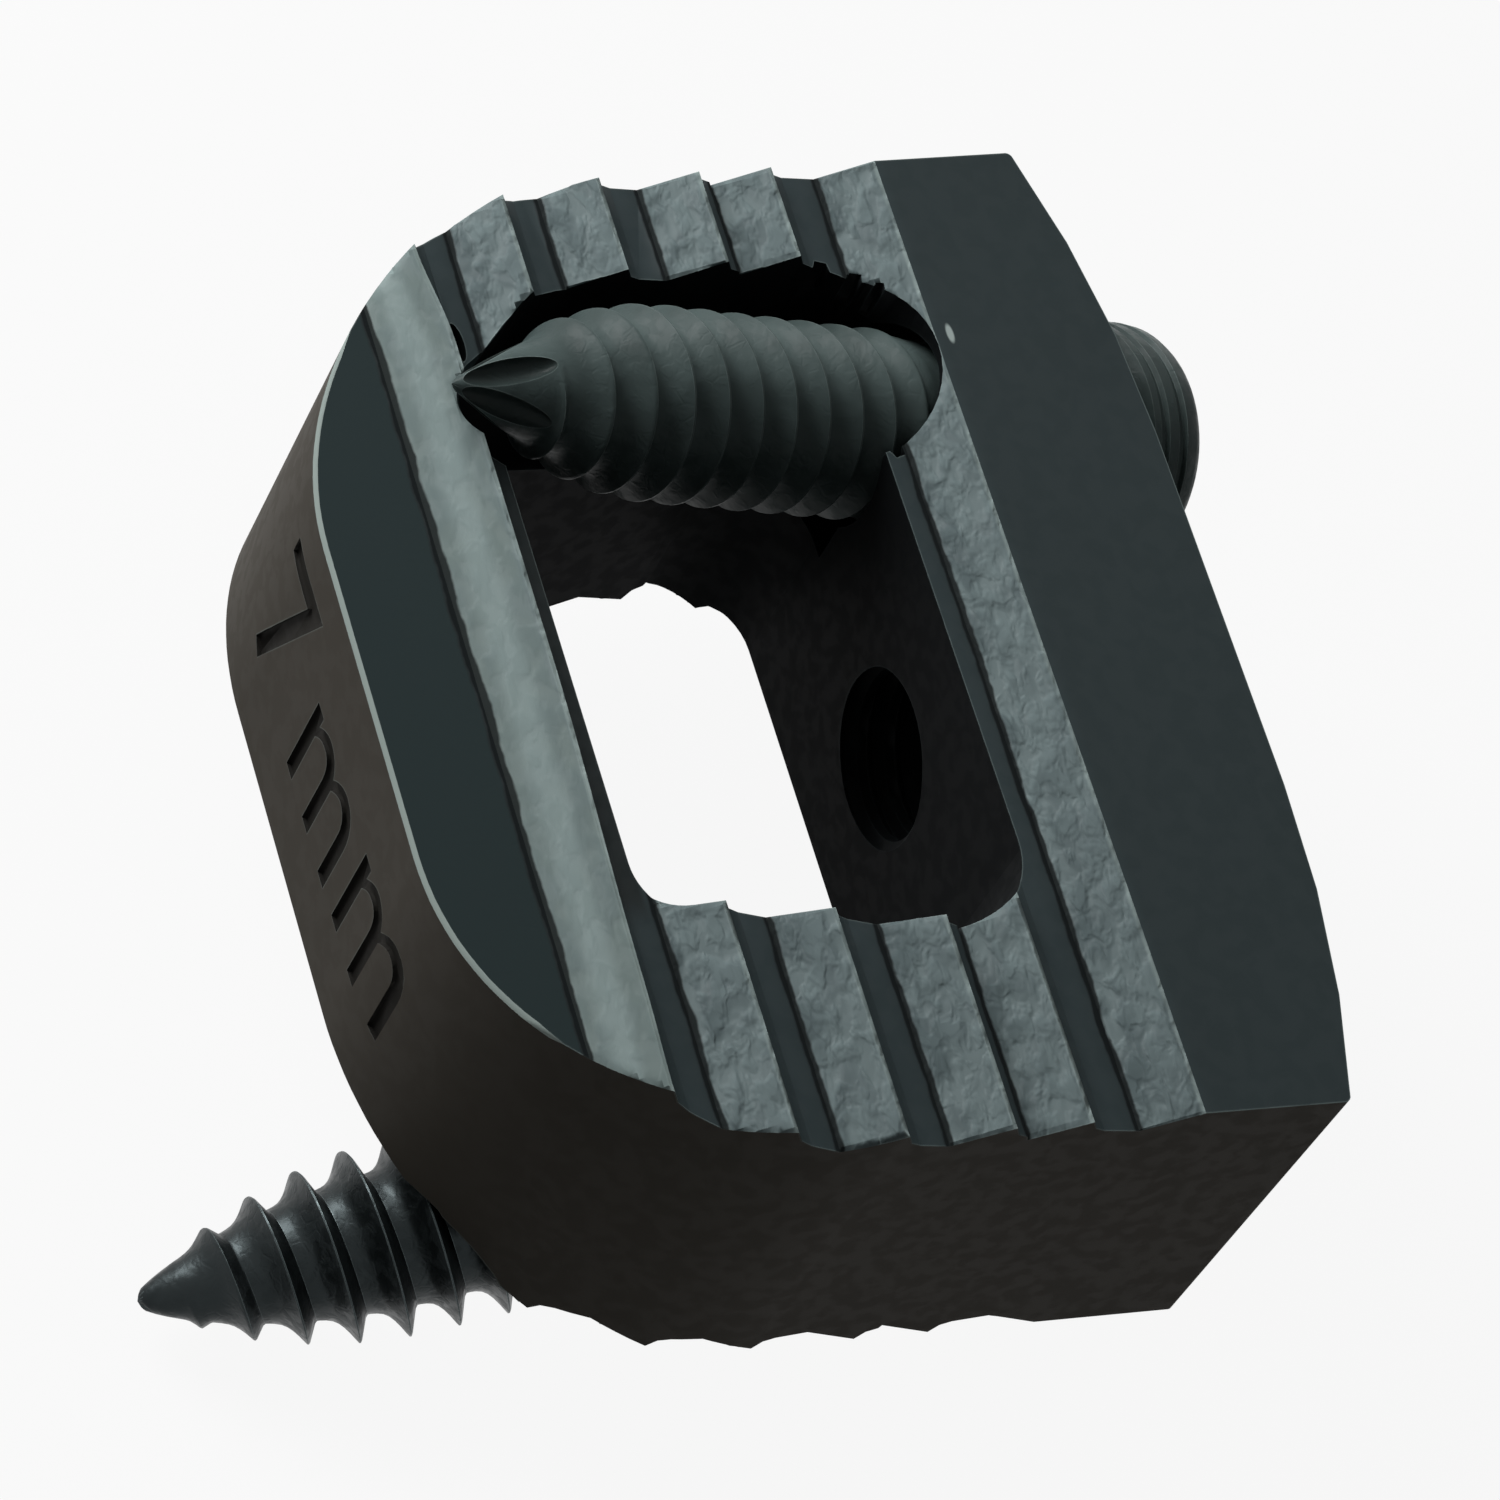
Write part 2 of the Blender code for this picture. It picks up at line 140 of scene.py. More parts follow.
def place_in_mesh(piece, matrix):
    """Move the mesh itself, so that the object stays at the origin."""
    piece.data.transform(matrix)
    piece.data.update()


# %% [markdown]
# ## The screws
#
# A bone screw has a thread like a saw: a long flank towards the tip lets it slide in,
# and a steep flank towards the head holds it. Such a thread is one profile swept round
# the axis while it climbs, which is what the Screw modifier does. The core then swells
# from the tip backwards, so each vertex is moved in or out afterwards.
#
# The sizes are those of the CAD model, in millimetres, so the screws sit in their bores.

# %% Sizes that the screws share with the solids
SCREW_RADIUS = 1.55
HEAD_RADIUS = 2.1
HEAD_HEIGHT = 1.25
HEAD_EDGE_RADIUS = 0.45
NECK_CONE = 0.5
NECK_RELIEF = 0.12
NECK_LENGTH = 3.4
DRIVE_WIDTH = 1.8
DRIVE_DEPTH = 0.9
SCREW_RISE = 16.0
ENTRY_HEIGHT = 0.63
SOCKET_OFFSET = -0.25
ENTRY_SPREAD = 5.2

# %% Where each screw runs
def screw_placement(stand_off, toe, direction):
    """Return the matrix that takes a screw from its own Z axis to its bore."""
    rise = math.radians(SCREW_RISE) * direction
    toe = math.radians(toe)
    entry = Vector((SOCKET_OFFSET + ENTRY_SPREAD * direction, 0.0, ENTRY_HEIGHT * direction))
    axis = Vector((
        math.sin(toe) * math.cos(rise),
        math.cos(toe) * math.cos(rise),
        math.sin(rise),
    ))
    turn = axis.to_track_quat("Z", "Y").to_matrix().to_4x4()
    return Matrix.Translation((entry - axis * stand_off) * MM) @ turn @ Matrix.Scale(MM, 4)


# %% [markdown]
# The profile is one turn long. It starts at a root, climbs slowly to the crest and
# drops back steeply. The numbers are shares of the pitch and of the depth.

# %% The saw-tooth profile of the thread
SAW_TOOTH = (
    (0.00, 0.00),
    (0.05, 0.16),
    (0.14, 0.95),
    (0.16, 1.00),
    (0.20, 1.00),
    (0.24, 0.92),
    (0.34, 0.70),
    (0.45, 0.46),
    (0.56, 0.25),
    (0.67, 0.11),
    (0.80, 0.03),
    (0.92, 0.00),
)
BROAD_TOOTH = (
    (0.00, 0.00),
    (0.05, 0.10),
    (0.23, 0.90),
    (0.265, 1.00),
    (0.295, 1.00),
    (0.33, 0.90),
    (0.42, 0.62),
    (0.51, 0.38),
    (0.60, 0.20),
    (0.70, 0.08),
    (0.82, 0.02),
    (0.93, 0.00),
)
THREAD_SIDES = 84
THREAD_RUN_OUT = 1.0
SWEEP_MERGE = 0.0005


def thread_profile_edges(outer, pitch, depth, tooth):
    """Extrude a chain of vertices along one turn's profile, and return the object."""
    root = outer - depth
    # a small plane, merged to its centre, is the first vertex of the chain
    bpy.ops.mesh.primitive_plane_add(size=0.1)
    piece = bpy.context.object
    bpy.ops.object.mode_set(mode="EDIT")
    bpy.ops.mesh.select_all(action="SELECT")
    bpy.ops.mesh.merge(type="CENTER")
    bpy.ops.transform.translate(value=(root, 0.0, 0.0))
    points = [(root + depth * lift, pitch * share) for share, lift in tooth]
    points.append((root, pitch))
    for (radius, height), (next_radius, next_height) in zip(points, points[1:]):
        step = (next_radius - radius, 0.0, next_height - height)
        bpy.ops.mesh.extrude_region_move(TRANSFORM_OT_translate={"value": step})
    bpy.ops.object.mode_set(mode="OBJECT")
    return piece


# %% Sweep the profile into a threaded rod
def threaded_rod(name, outer, pitch, depth, turns, tooth, sides=THREAD_SIDES):
    """Return a rod of straight thread that climbs along Z from 0."""
    deselect_all()
    rod = thread_profile_edges(outer, pitch, depth, tooth)
    rod.name = name
    sweep = rod.modifiers.new("sweep", "SCREW")
    sweep.axis = "Z"
    sweep.angle = math.tau
    sweep.screw_offset = pitch
    sweep.iterations = turns
    sweep.steps = sides
    sweep.render_steps = sides
    sweep.use_merge_vertices = True
    sweep.merge_threshold = SWEEP_MERGE
    sweep.use_smooth_shade = True
    apply_modifiers(rod)
    return rod


# %% Shape the rod into a tapered shank
END_BAND = 0.03


def swell(radius, run, below_tip, fullness):
    """Return the radius of a rounded taper at a distance behind its tip."""
    share = min(1.0, max(0.0, below_tip / run))
    return radius * (1.0 - (1.0 - share) ** 2) ** fullness


def ease(value, low, high):
    """Return 0 below low, 1 above high and a smooth curve between them."""
    share = min(1.0, max(0.0, (value - low) / (high - low)))
    return share * share * (3.0 - 2.0 * share)


def shape_shank(rod, start, tip, depth, nose):
    """Press the rod between start and tip, and fade its thread at both ends."""
    for vertex in rod.data.vertices:
        x, y, z = vertex.co
        angle = math.atan2(y, x)
        lift = (math.hypot(x, y) - (SCREW_RADIUS - depth)) / depth
        lift = min(1.0, max(0.0, lift))
        z = start if z < start + END_BAND else z
        z = tip if z > tip - END_BAND else z
        behind = tip - z
        end = nose["blunt end"]
        core = swell(SCREW_RADIUS - depth, nose["core run"], behind + end, nose["core fullness"])
        if behind < end:
            core *= math.sqrt(1.0 - (1.0 - behind / end) ** 2)
        outer = swell(SCREW_RADIUS, nose["crest run"], behind, nose["crest fullness"])
        outer = max(outer, core)
        crest = outer - NECK_RELIEF * (1.0 - ease(z, start, start + THREAD_RUN_OUT / 2.0))
        root = crest - (crest - core) * ease(z, start, start + THREAD_RUN_OUT)
        lift *= ease(behind, *nose["thread starts"])
        radius = 0.0 if z == tip else root + (crest - root) * lift
        vertex.co = (radius * math.cos(angle), radius * math.sin(angle), z)


# %% [markdown]
# The head is drawn up from the shank's open end, as by hand: extrude the rim, scale it
# out to the cone, and again for the head. Two shallow rings are turned into its side.
# The hexagonal drive is the same rim, pressed into a hexagon and pushed inwards.

# %% Draw the head out of the shank's rim
RIM_TOLERANCE = 0.0005
RING_HEIGHTS = (0.92, 0.52)
# how far up a ring each of its corners lies, and how deep it is turned
RING_CORNERS = ((0.19, 0.0), (0.14, 0.07), (0.05, 0.07), (0.0, 0.0))
HEAD_EDGE_STEPS = 5
DRIVE_CORNER = DRIVE_WIDTH / math.sqrt(3.0)
DRIVE_LEAD_IN = 0.12


def pull_rim(height, radius, old_radius):
    """Extrude the selected rim to a height below and scale it to a radius."""
    bpy.ops.mesh.extrude_region_move(TRANSFORM_OT_translate={"value": (0.0, 0.0, height)})
    scale = radius / old_radius
    bpy.ops.transform.resize(value=(scale, scale, 1.0), center_override=(0.0, 0.0, 0.0))


def select_rim(piece, height):
    """Select the vertices that lie at one height, and nothing else."""
    bpy.ops.object.mode_set(mode="OBJECT")
    for vertex in piece.data.vertices:
        vertex.select = abs(vertex.co.z - height) < RIM_TOLERANCE
    for edge in piece.data.edges:
        edge.select = all(piece.data.vertices[i].select for i in edge.vertices)
    for face in piece.data.polygons:
        face.select = False
    bpy.ops.object.mode_set(mode="EDIT")


def head_outline():
    """Return the head from the cone to its end face, as heights and radii."""
    outline = [(HEAD_HEIGHT, HEAD_RADIUS)]
    for height in RING_HEIGHTS:
        outline += [(height + up, HEAD_RADIUS - inset) for up, inset in RING_CORNERS]
    for step in range(1, HEAD_EDGE_STEPS + 1):
        angle = math.radians(90.0 * step / HEAD_EDGE_STEPS)
        outline.append((
            HEAD_EDGE_RADIUS * (1.0 - math.sin(angle)),
            HEAD_RADIUS - HEAD_EDGE_RADIUS * (1.0 - math.cos(angle)),
        ))
    return outline


def add_head(screw, start):
    """Extend the shank through the neck and the cone to the head and its drive."""
    make_active(screw)
    bpy.ops.object.mode_set(mode="EDIT")
    bpy.ops.mesh.select_mode(type="VERT")
    select_rim(screw, start)
    height = start
    radius = SCREW_RADIUS - NECK_RELIEF
    outline = [(HEAD_HEIGHT + NECK_CONE, radius)] + head_outline()
    outline.append((0.0, DRIVE_CORNER + DRIVE_LEAD_IN))
    for next_height, next_radius in outline:
        pull_rim(next_height - height, next_radius, radius)
        height, radius = next_height, next_radius
    for depth in (0.0, DRIVE_DEPTH):
        pull_rim(depth, DRIVE_CORNER, radius)
        radius = DRIVE_CORNER
        bpy.ops.object.mode_set(mode="OBJECT")
        press_into_hexagon(screw)
        bpy.ops.object.mode_set(mode="EDIT")
    bpy.ops.mesh.edge_face_add()
    bpy.ops.object.mode_set(mode="OBJECT")


def press_into_hexagon(screw):
    """Slide the selected vertices along their radii to the flats of a hexagon."""
    for vertex in screw.data.vertices:
        if not vertex.select:
            continue
        angle = math.atan2(vertex.co.y, vertex.co.x)
        off_flat = (math.degrees(angle) % 60.0) - 30.0
        radius = DRIVE_WIDTH / 2.0 / math.cos(math.radians(off_flat))
        vertex.co.x = radius * math.cos(angle)
        vertex.co.y = radius * math.sin(angle)


# %% Make a whole screw
SEAM_GAP = 0.0008
SLIVER_WIDTH = 0.0002
TURNS_BEFORE_START = 3.0
SPARE_TURNS = 5
SCREW_SMOOTH_ANGLE = 36.0


def make_screw(name, length, pitch, depth, shift, nose, tooth):
    """Return one finished screw on its own axis, with its head's end at Z 0.

    The shift says how far along a pitch the thread starts, which turns the thread.
    """
    start = HEAD_HEIGHT + NECK_CONE + NECK_LENGTH
    turns = math.ceil((length - start) / pitch) + SPARE_TURNS
    rod = threaded_rod(name, SCREW_RADIUS, pitch, depth, turns, tooth)
    first_turn = start + (shift - TURNS_BEFORE_START) * pitch
    rod.data.transform(Matrix.Translation((0.0, 0.0, first_turn)))
    shape_shank(rod, start, length, depth, nose)
    make_active(rod)
    bpy.ops.object.mode_set(mode="EDIT")
    bpy.ops.mesh.select_all(action="SELECT")
    bpy.ops.mesh.remove_doubles(threshold=SEAM_GAP)
    bpy.ops.mesh.dissolve_degenerate(threshold=SLIVER_WIDTH)
    bpy.ops.object.mode_set(mode="OBJECT")
    add_head(rod, start)
    print(name, len(rod.data.polygons), "faces")
    return rod


def seat_screw(screw, placement):
    """Move a finished screw into its bore and shade it."""
    place_in_mesh(screw, placement)
    face_outwards(screw)
    bpy.ops.object.shade_smooth_by_angle(angle=math.radians(SCREW_SMOOTH_ANGLE))


# %% [markdown]
# The cranial screw is short, with a fine thread, and stands proud of its seat. The
# caudal one is longer, with a coarser thread and a blunt nose, and lies nearly flush.
# The taper of the crests and that of the core are given apart, because the thread
# starts only some way behind the tip.

# %% Make both screws
CRANIAL_LENGTH = 14.0
CRANIAL_PITCH = 0.68
CRANIAL_DEPTH = 0.30
CRANIAL_SHIFT = 0.45
CRANIAL_STAND_OFF = 1.45
CRANIAL_TOE = -2.2
CAUDAL_LENGTH = 18.0
CAUDAL_PITCH = 0.785
CAUDAL_DEPTH = 0.46
CAUDAL_SHIFT = 0.1
CAUDAL_STAND_OFF = 0.3
CAUDAL_TOE = -0.9
CRANIAL_NOSE = {
    "crest run": 4.0,
    "crest fullness": 1.0,
    "core run": 4.4,
    "core fullness": 0.8,
    "blunt end": 0.0,
    "thread starts": (1.45, 1.75),
}
CAUDAL_NOSE = {
    "crest run": 4.5,
    "crest fullness": 0.8,
    "core run": 4.6,
    "core fullness": 0.75,
    "blunt end": 0.12,
    "thread starts": (0.6, 0.95),
}
cranial_placement = screw_placement(CRANIAL_STAND_OFF, CRANIAL_TOE, 1)
caudal_placement = screw_placement(CAUDAL_STAND_OFF, CAUDAL_TOE, -1)
cranial_screw = make_screw(
    "cranial_screw_threaded", CRANIAL_LENGTH, CRANIAL_PITCH, CRANIAL_DEPTH, CRANIAL_SHIFT,
    CRANIAL_NOSE, SAW_TOOTH,
)
caudal_screw = make_screw(
    "caudal_screw_threaded", CAUDAL_LENGTH, CAUDAL_PITCH, CAUDAL_DEPTH, CAUDAL_SHIFT,
    CAUDAL_NOSE, BROAD_TOOTH,
)

# %% [markdown]
# The upper screw drills its own way, so hollows are ground along its tip and leave
# narrow lands between them. Each hollow is shaped like a leaf, so a long ball, laid
# along the cone, is cut away once for every hollow. A cut leaves the cutter's material
# on the faces that it makes, which tells them apart later.

# %% Grind the hollows of the drilling tip
HOLLOWS = 5
HOLLOW_HALF_LENGTH = 0.78
HOLLOW_HALF_WIDTH = 0.23
HOLLOW_DEPTH = 0.24
HOLLOW_PLACE = (0.51, 0.78)
HOLLOW_LEAN = 25.0
LAND_ANGLE = 52.0


def grind_tip(screw, length):
    """Cut the hollows round the tip of a screw that still stands on its own axis.

    A hollow's place is its middle's distance from the axis and behind the tip.
    """
    out, behind = HOLLOW_PLACE
    lean = Matrix.Rotation(math.radians(-HOLLOW_LEAN), 4, "Y")
    size = Matrix.Diagonal((HOLLOW_DEPTH, HOLLOW_HALF_WIDTH, HOLLOW_HALF_LENGTH, 1.0))
    for number in range(HOLLOWS):
        angle = math.radians(LAND_ANGLE + (number + 0.5) * 360.0 / HOLLOWS)
        deselect_all()
        bpy.ops.mesh.primitive_uv_sphere_add(segments=28, ring_count=20, radius=1.0)
        stone = bpy.context.object
        place_in_mesh(stone, Matrix.Translation((out, 0.0, length - behind)) @ lean @ size)
        place_in_mesh(stone, Matrix.Rotation(angle, 4, "Z"))
        stone.data.materials.append(hollow_metal)
        cut(screw, stone, leave_material=True)


shank_metal = bpy.data.materials.new("shank_before_finishing")
hollow_metal = bpy.data.materials.new("hollow_before_finishing")
for screw in (cranial_screw, caudal_screw):
    screw.data.materials.append(shank_metal)
grind_tip(cranial_screw, CRANIAL_LENGTH)
seat_screw(cranial_screw, cranial_placement)
seat_screw(caudal_screw, caudal_placement)
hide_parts("cranial_screw")
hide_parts("caudal_screw")

# %% [markdown]
# ## The cage
#
# The cage keeps the CAD model's form. Its mesh is loose triangles, so a copy of it is
# merged into large flat faces first, which the cuts below need.

# %% Sizes that the cage shares with the solids
CAGE_WIDTH = 17.6
CAGE_DEPTH = 14.1
FRONT_BAND = 3.3
RIDGE_PITCHES = (1.87, 1.28, 1.76, 1.72, 1.73)
RIDGE_FLANK = 0.95
BACK_CORNER_RADIUS = 5.9
BACK_WIDTH = 17.2
SOCKET_RADIUS = 1.4
FLAT_HALF = BACK_WIDTH / 2.0 - BACK_CORNER_RADIUS
CORNER_Y = CAGE_DEPTH - BACK_CORNER_RADIUS

crests = [FRONT_BAND]
for pitch in RIDGE_PITCHES:
    crests.append(crests[-1] + pitch)
print("crests at", [round(crest, 2) for crest in crests])

# %% Copy the solid and merge its triangles
SOLID_MERGE = 0.0005
FLAT_ANGLE = 0.3

cage = bpy.data.objects.new("cage_dressed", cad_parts["cage_body"].data.copy())
bpy.context.scene.collection.objects.link(cage)
cage.data.materials.clear()
cage_metal = bpy.data.materials.new("cage_metal_before_finishing")
cage.data.materials.append(cage_metal)
make_active(cage)
bpy.ops.object.mode_set(mode="EDIT")
bpy.ops.mesh.select_all(action="SELECT")
bpy.ops.mesh.remove_doubles(threshold=SOLID_MERGE * MM)
bpy.ops.mesh.dissolve_limited(angle_limit=math.radians(FLAT_ANGLE))
bpy.ops.object.mode_set(mode="OBJECT")
print("cage:", len(cage.data.polygons), "flat faces")

# %% [markdown]
# The solid draws the D's round back corners as a few flat strips, which would show as
# corners against the light. Each strip is cut into narrower ones, and their edges are
# pushed out to the true radius. What then lies too close together is merged, because
# a strip of almost no width would fold over when the back edge is chamfered.

# %% Round the back corners
STRIP_DEGREES = 2.5
CORNER_REACH = 0.06
NARROWEST_STRIP = 0.02
UPRIGHT_TILT = 0.1
PLANE_TOLERANCE = 0.00001
CORNER_END = 0.001


def on_corner(point, side):
    """Say whether a point lies on the round wall of the back corner on one side."""
    out = point.x * side - FLAT_HALF
    back = point.y - CORNER_Y
    near_arc = abs(math.hypot(out, back) - BACK_CORNER_RADIUS) < CORNER_REACH
    return near_arc and out > 0.0 and back > 0.0


def corner_walls(shape, side):
    """Return the wall faces of one back corner."""
    return [
        face for face in shape.faces
        if on_corner(face.calc_center_median() / MM, side)
        and abs(face.normal.z) < UPRIGHT_TILT
    ]


def points_of(faces):
    """Return the points of some faces, each once and always in the same order."""
    return list(dict.fromkeys(vert for face in faces for vert in face.verts))


def slice_faces(shape, faces, place, direction):
    """Cut some faces along a plane through a place given in millimetres."""
    edges = list(dict.fromkeys(edge for face in faces for edge in face.edges))
    bmesh.ops.bisect_plane(
        shape, geom=points_of(faces) + edges + faces, dist=PLANE_TOLERANCE * MM,
        plane_co=Vector(place) * MM, plane_no=direction,
    )


def round_back_corners():
    """Cut the walls of both back corners into narrow strips on the true arc."""
    shape = bmesh.new()
    shape.from_mesh(cage.data)
    moved = 0
    for side in (1.0, -1.0):
        centre = Vector((side * FLAT_HALF, CORNER_Y, 0.0))
        for step in range(1, int(90.0 / STRIP_DEGREES)):
            angle = math.radians(step * STRIP_DEGREES)
            across = (-math.sin(angle) * side, math.cos(angle), 0.0)
            slice_faces(shape, corner_walls(shape, side), centre, across)
        for vert in points_of(corner_walls(shape, side)):
            away = vert.co / MM - centre
            away.z = 0.0
            if away.x * side > CORNER_END and away.y > CORNER_END:
                vert.co += away.normalized() * (BACK_CORNER_RADIUS - away.length) * MM
                moved += 1
        on_arc = points_of(corner_walls(shape, side))
        bmesh.ops.remove_doubles(shape, verts=on_arc, dist=NARROWEST_STRIP * MM)
    shape.to_mesh(cage.data)
    shape.free()
    print("corner points on the arc:", moved)


round_back_corners()

# %% [markdown]
# The inserter screws into a socket in the front wall, so the socket is tapped. The tap
# is a rod with the same kind of thread as the screws, but with a plain V, and what it
# cuts away leaves the thread inside.

# %% Tap the socket
TAP_PITCH = 0.5
TAP_DEPTH = 0.16
TAP_START = 0.3
TAP_LENGTH = 4.6
TAP_OVERLAP = 0.02
TAP_SIDES = 48
TAP_SPARE_TURNS = 3
WHOLE_AFTER = 1.1
PLAIN_V = ((0.0, 0.0), (0.15, 0.0), (0.42, 1.0), (0.58, 1.0), (0.85, 0.0))


def make_tap():
    """Return a closed threaded rod along +Y, a little deeper than the plain socket."""
    turns = math.ceil(TAP_LENGTH / TAP_PITCH) + TAP_SPARE_TURNS
    outer = SOCKET_RADIUS + TAP_DEPTH
    depth = TAP_DEPTH + TAP_OVERLAP
    tap = threaded_rod("tap", outer, TAP_PITCH, depth, turns, PLAIN_V, TAP_SIDES)
    first_whole_turn = WHOLE_AFTER * TAP_PITCH
    bpy.ops.object.mode_set(mode="EDIT")
    bpy.ops.mesh.select_all(action="SELECT")
    bpy.ops.mesh.remove_doubles(threshold=SEAM_GAP)
    for height, clear in ((first_whole_turn, True), (first_whole_turn + TAP_LENGTH, False)):
        bpy.ops.mesh.select_all(action="SELECT")
        bpy.ops.mesh.bisect(
            plane_co=(0.0, 0.0, height), plane_no=(0.0, 0.0, 1.0), use_fill=True,
            clear_inner=clear, clear_outer=not clear,
        )
    bpy.ops.object.mode_set(mode="OBJECT")
    lay_down = Matrix.Rotation(math.radians(-90.0), 4, "X")
    to_socket = Matrix.Translation((SOCKET_OFFSET * MM, (TAP_START - first_whole_turn) * MM, 0.0))
    place_in_mesh(tap, to_socket @ lay_down @ Matrix.Scale(MM, 4))
    face_outwards(tap)
    print("tap:", len(tap.data.polygons), "faces,", open_edges(tap), "open edges")
    return tap


def open_edges(piece):
    """Count the edges that don't lie between exactly two faces."""
    shape = bmesh.new()
    shape.from_mesh(piece.data)
    found = sum(1 for edge in shape.edges if not edge.is_manifold)
    shape.free()
    return found


cut(cage, make_tap())
print("tapped cage:", len(cage.data.polygons), "faces,", open_edges(cage), "open edges")

# %% [markdown]
# Cages come in several heights, and each is marked with its own on the back wall. A
# plain figure and the unit are typed in Blender's own letters, made a mesh, cut into
# narrow strips so that they can bend, and wrapped round the D's back. The cage is then
# cut with them, a little less than a tenth of a millimetre deep.

# %% Wrap letters round the back wall
MARK_DEPTH = 0.07
MARK_STRIP = 0.2
CUTTER_THICKNESS = 0.5
CURVE_STEPS = 6
LETTER_MERGE = 0.0001
MARK_LETTERS = (
    # letter, left, right, bottom and top, in millimetres on the back wall
    ("7", -3.45, -1.85, -1.1, 1.6),
    ("m", -1.05, 1.2, -1.1, 0.72),
    ("m", 1.7, 3.92, -1.05, 0.85),
)


def on_back_wall(along, height, out):
    """Return the point at a distance along the back wall, reading from the back."""
    side = -1.0 if along > 0.0 else 1.0
    turn = max(0.0, abs(along) - FLAT_HALF) / BACK_CORNER_RADIUS
    run = min(abs(along), FLAT_HALF)
    reach = BACK_CORNER_RADIUS + out
    return Vector((
        side * (run + reach * math.sin(turn)),
        CORNER_Y + reach * math.cos(turn),
        height,
    )) * MM


def make_letter(body, left, right, low, high):
    """Return one letter as a closed cutter that fills a box on the back wall."""
    deselect_all()
    bpy.ops.object.text_add()
    letter = bpy.context.object
    letter.data.body = body
    letter.data.extrude = CUTTER_THICKNESS
    letter.data.resolution_u = CURVE_STEPS
    bpy.ops.object.convert(target="MESH")
    letter = bpy.context.object
    shape = bmesh.new()
    shape.from_mesh(letter.data)
    bmesh.ops.remove_doubles(shape, verts=shape.verts, dist=LETTER_MERGE)
    lows = [min(vert.co[axis] for vert in shape.verts) for axis in range(3)]
    highs = [max(vert.co[axis] for vert in shape.verts) for axis in range(3)]
    for vert in shape.verts:
        share = [(vert.co[axis] - lows[axis]) / (highs[axis] - lows[axis]) for axis in range(3)]
        vert.co = (
            left + share[0] * (right - left),
            low + share[1] * (high - low),
            share[2],
        )
    for step in range(1, int((right - left) / MARK_STRIP) + 1):
        bmesh.ops.bisect_plane(
            shape, geom=shape.verts[:] + shape.edges[:] + shape.faces[:], dist=PLANE_TOLERANCE,
            plane_co=(left + step * MARK_STRIP, 0.0, 0.0), plane_no=(1.0, 0.0, 0.0),
        )
    for vert in shape.verts:
        along, height, share = vert.co
        vert.co = on_back_wall(along, height, -MARK_DEPTH + share * CUTTER_THICKNESS)
    bmesh.ops.triangulate(shape, faces=shape.faces)
    bmesh.ops.recalc_face_normals(shape, faces=shape.faces)
    shape.to_mesh(letter.data)
    shape.free()
    return letter


# %% Cut the size mark
mark_metal = bpy.data.materials.new("mark_before_finishing")
for body, left, right, low, high in MARK_LETTERS:
    letter = make_letter(body, left, right, low, high)
    letter.data.materials.clear()
    letter.data.materials.append(mark_metal)
    cut(cage, letter, leave_material=True)
print("marked cage:", len(cage.data.polygons), "faces,", [m.name for m in cage.data.materials])

# %% [markdown]
# The tool that opened the pockets left small bites where it ran out through the ridges:
# a few short nicks in the pocket's rim, and one small oval through the floor behind it.
# Slim upright pins cut them, above and, turned half round, below.

# %% Nick the rims of the pockets
POCKET_CIRCLE = (5.154, 5.1)
POCKET_RADIUS = 1.8
RIM_NICKS = (
    # degrees round the pocket's front end, radius of the pin
    (-13.0, 0.18),
    (-31.0, 0.15),
    (-44.0, 0.10),
    (-158.0, 0.17),
)
NICK_SIDES = 5
REAR_BITE = (5.83, 11.30)
REAR_BITE_HALF_SIZES = (0.36, 0.13)
BITE_SIDES = 20
PIN_LENGTH = 1.2
PIN_HEIGHT = 3.1


def cut_pin(x, y, direction, sides, radius, shape):
    """Cut an upright pin out of one face, its shape a matrix that turns or stretches it."""
    deselect_all()
    bpy.ops.mesh.primitive_cylinder_add(vertices=sides, radius=radius, depth=PIN_LENGTH * MM)
    pin = bpy.context.object
    x = SOCKET_OFFSET + (x - SOCKET_OFFSET) * direction
    place_in_mesh(pin, shape)
    place_in_mesh(pin, Matrix.Translation((x * MM, y * MM, PIN_HEIGHT * direction * MM)))
    cut(cage, pin)


def nick_rims():
    """Cut the bite and the nicks above and, turned half round, below."""
    oval = Matrix.Diagonal((*REAR_BITE_HALF_SIZES, 1.0, 1.0))
    for direction in (1.0, -1.0):
        cut_pin(*REAR_BITE, direction, BITE_SIDES, MM, oval)
        for degrees, radius in RIM_NICKS:
            angle = math.radians(degrees)
            x = POCKET_CIRCLE[0] + POCKET_RADIUS * math.cos(angle)
            y = POCKET_CIRCLE[1] + POCKET_RADIUS * math.sin(angle)
            turned = Matrix.Rotation(angle * NICK_SIDES, 4, "Z")
            cut_pin(x, y, direction, NICK_SIDES, radius * MM, turned)


nick_rims()
print("nicked cage:", len(cage.data.polygons), "faces")

# %% [markdown]
# ## Which finish goes where
#
# The ridges' flanks are rough and pale, because that is where the surface was blasted
# to hold bone. The other faces are smooth and dark, and the window, the pockets and the
# holes are darker still, a painted shade for these recesses. Each face is sorted by where
# it lies and which way it looks, which is quicker than picking hundreds of faces by hand.

# %% Sort the faces
FINISHES = ("smooth", "flank", "wall", "inside", "mark", "edge")
SMOOTH, FLANK, WALL, INSIDE, MARK, EDGE = range(6)
RIDGED_HEIGHT = 3.0
NOSE_START = 12.5
WALL_REACH = 0.75
FRONT_HOLES_HALF_WIDTH = 8.0
LEVEL_SHARE = 0.25
SLOPE_SHARE = 0.3
LOOKS_FORWARD = -0.9


def ridge_behind(y):
    """Return how far a point lies behind the nearest crest in front of it."""
    passed = [crest for crest in crests if crest <= y]
    return y - passed[-1] if passed else y - crests[0]


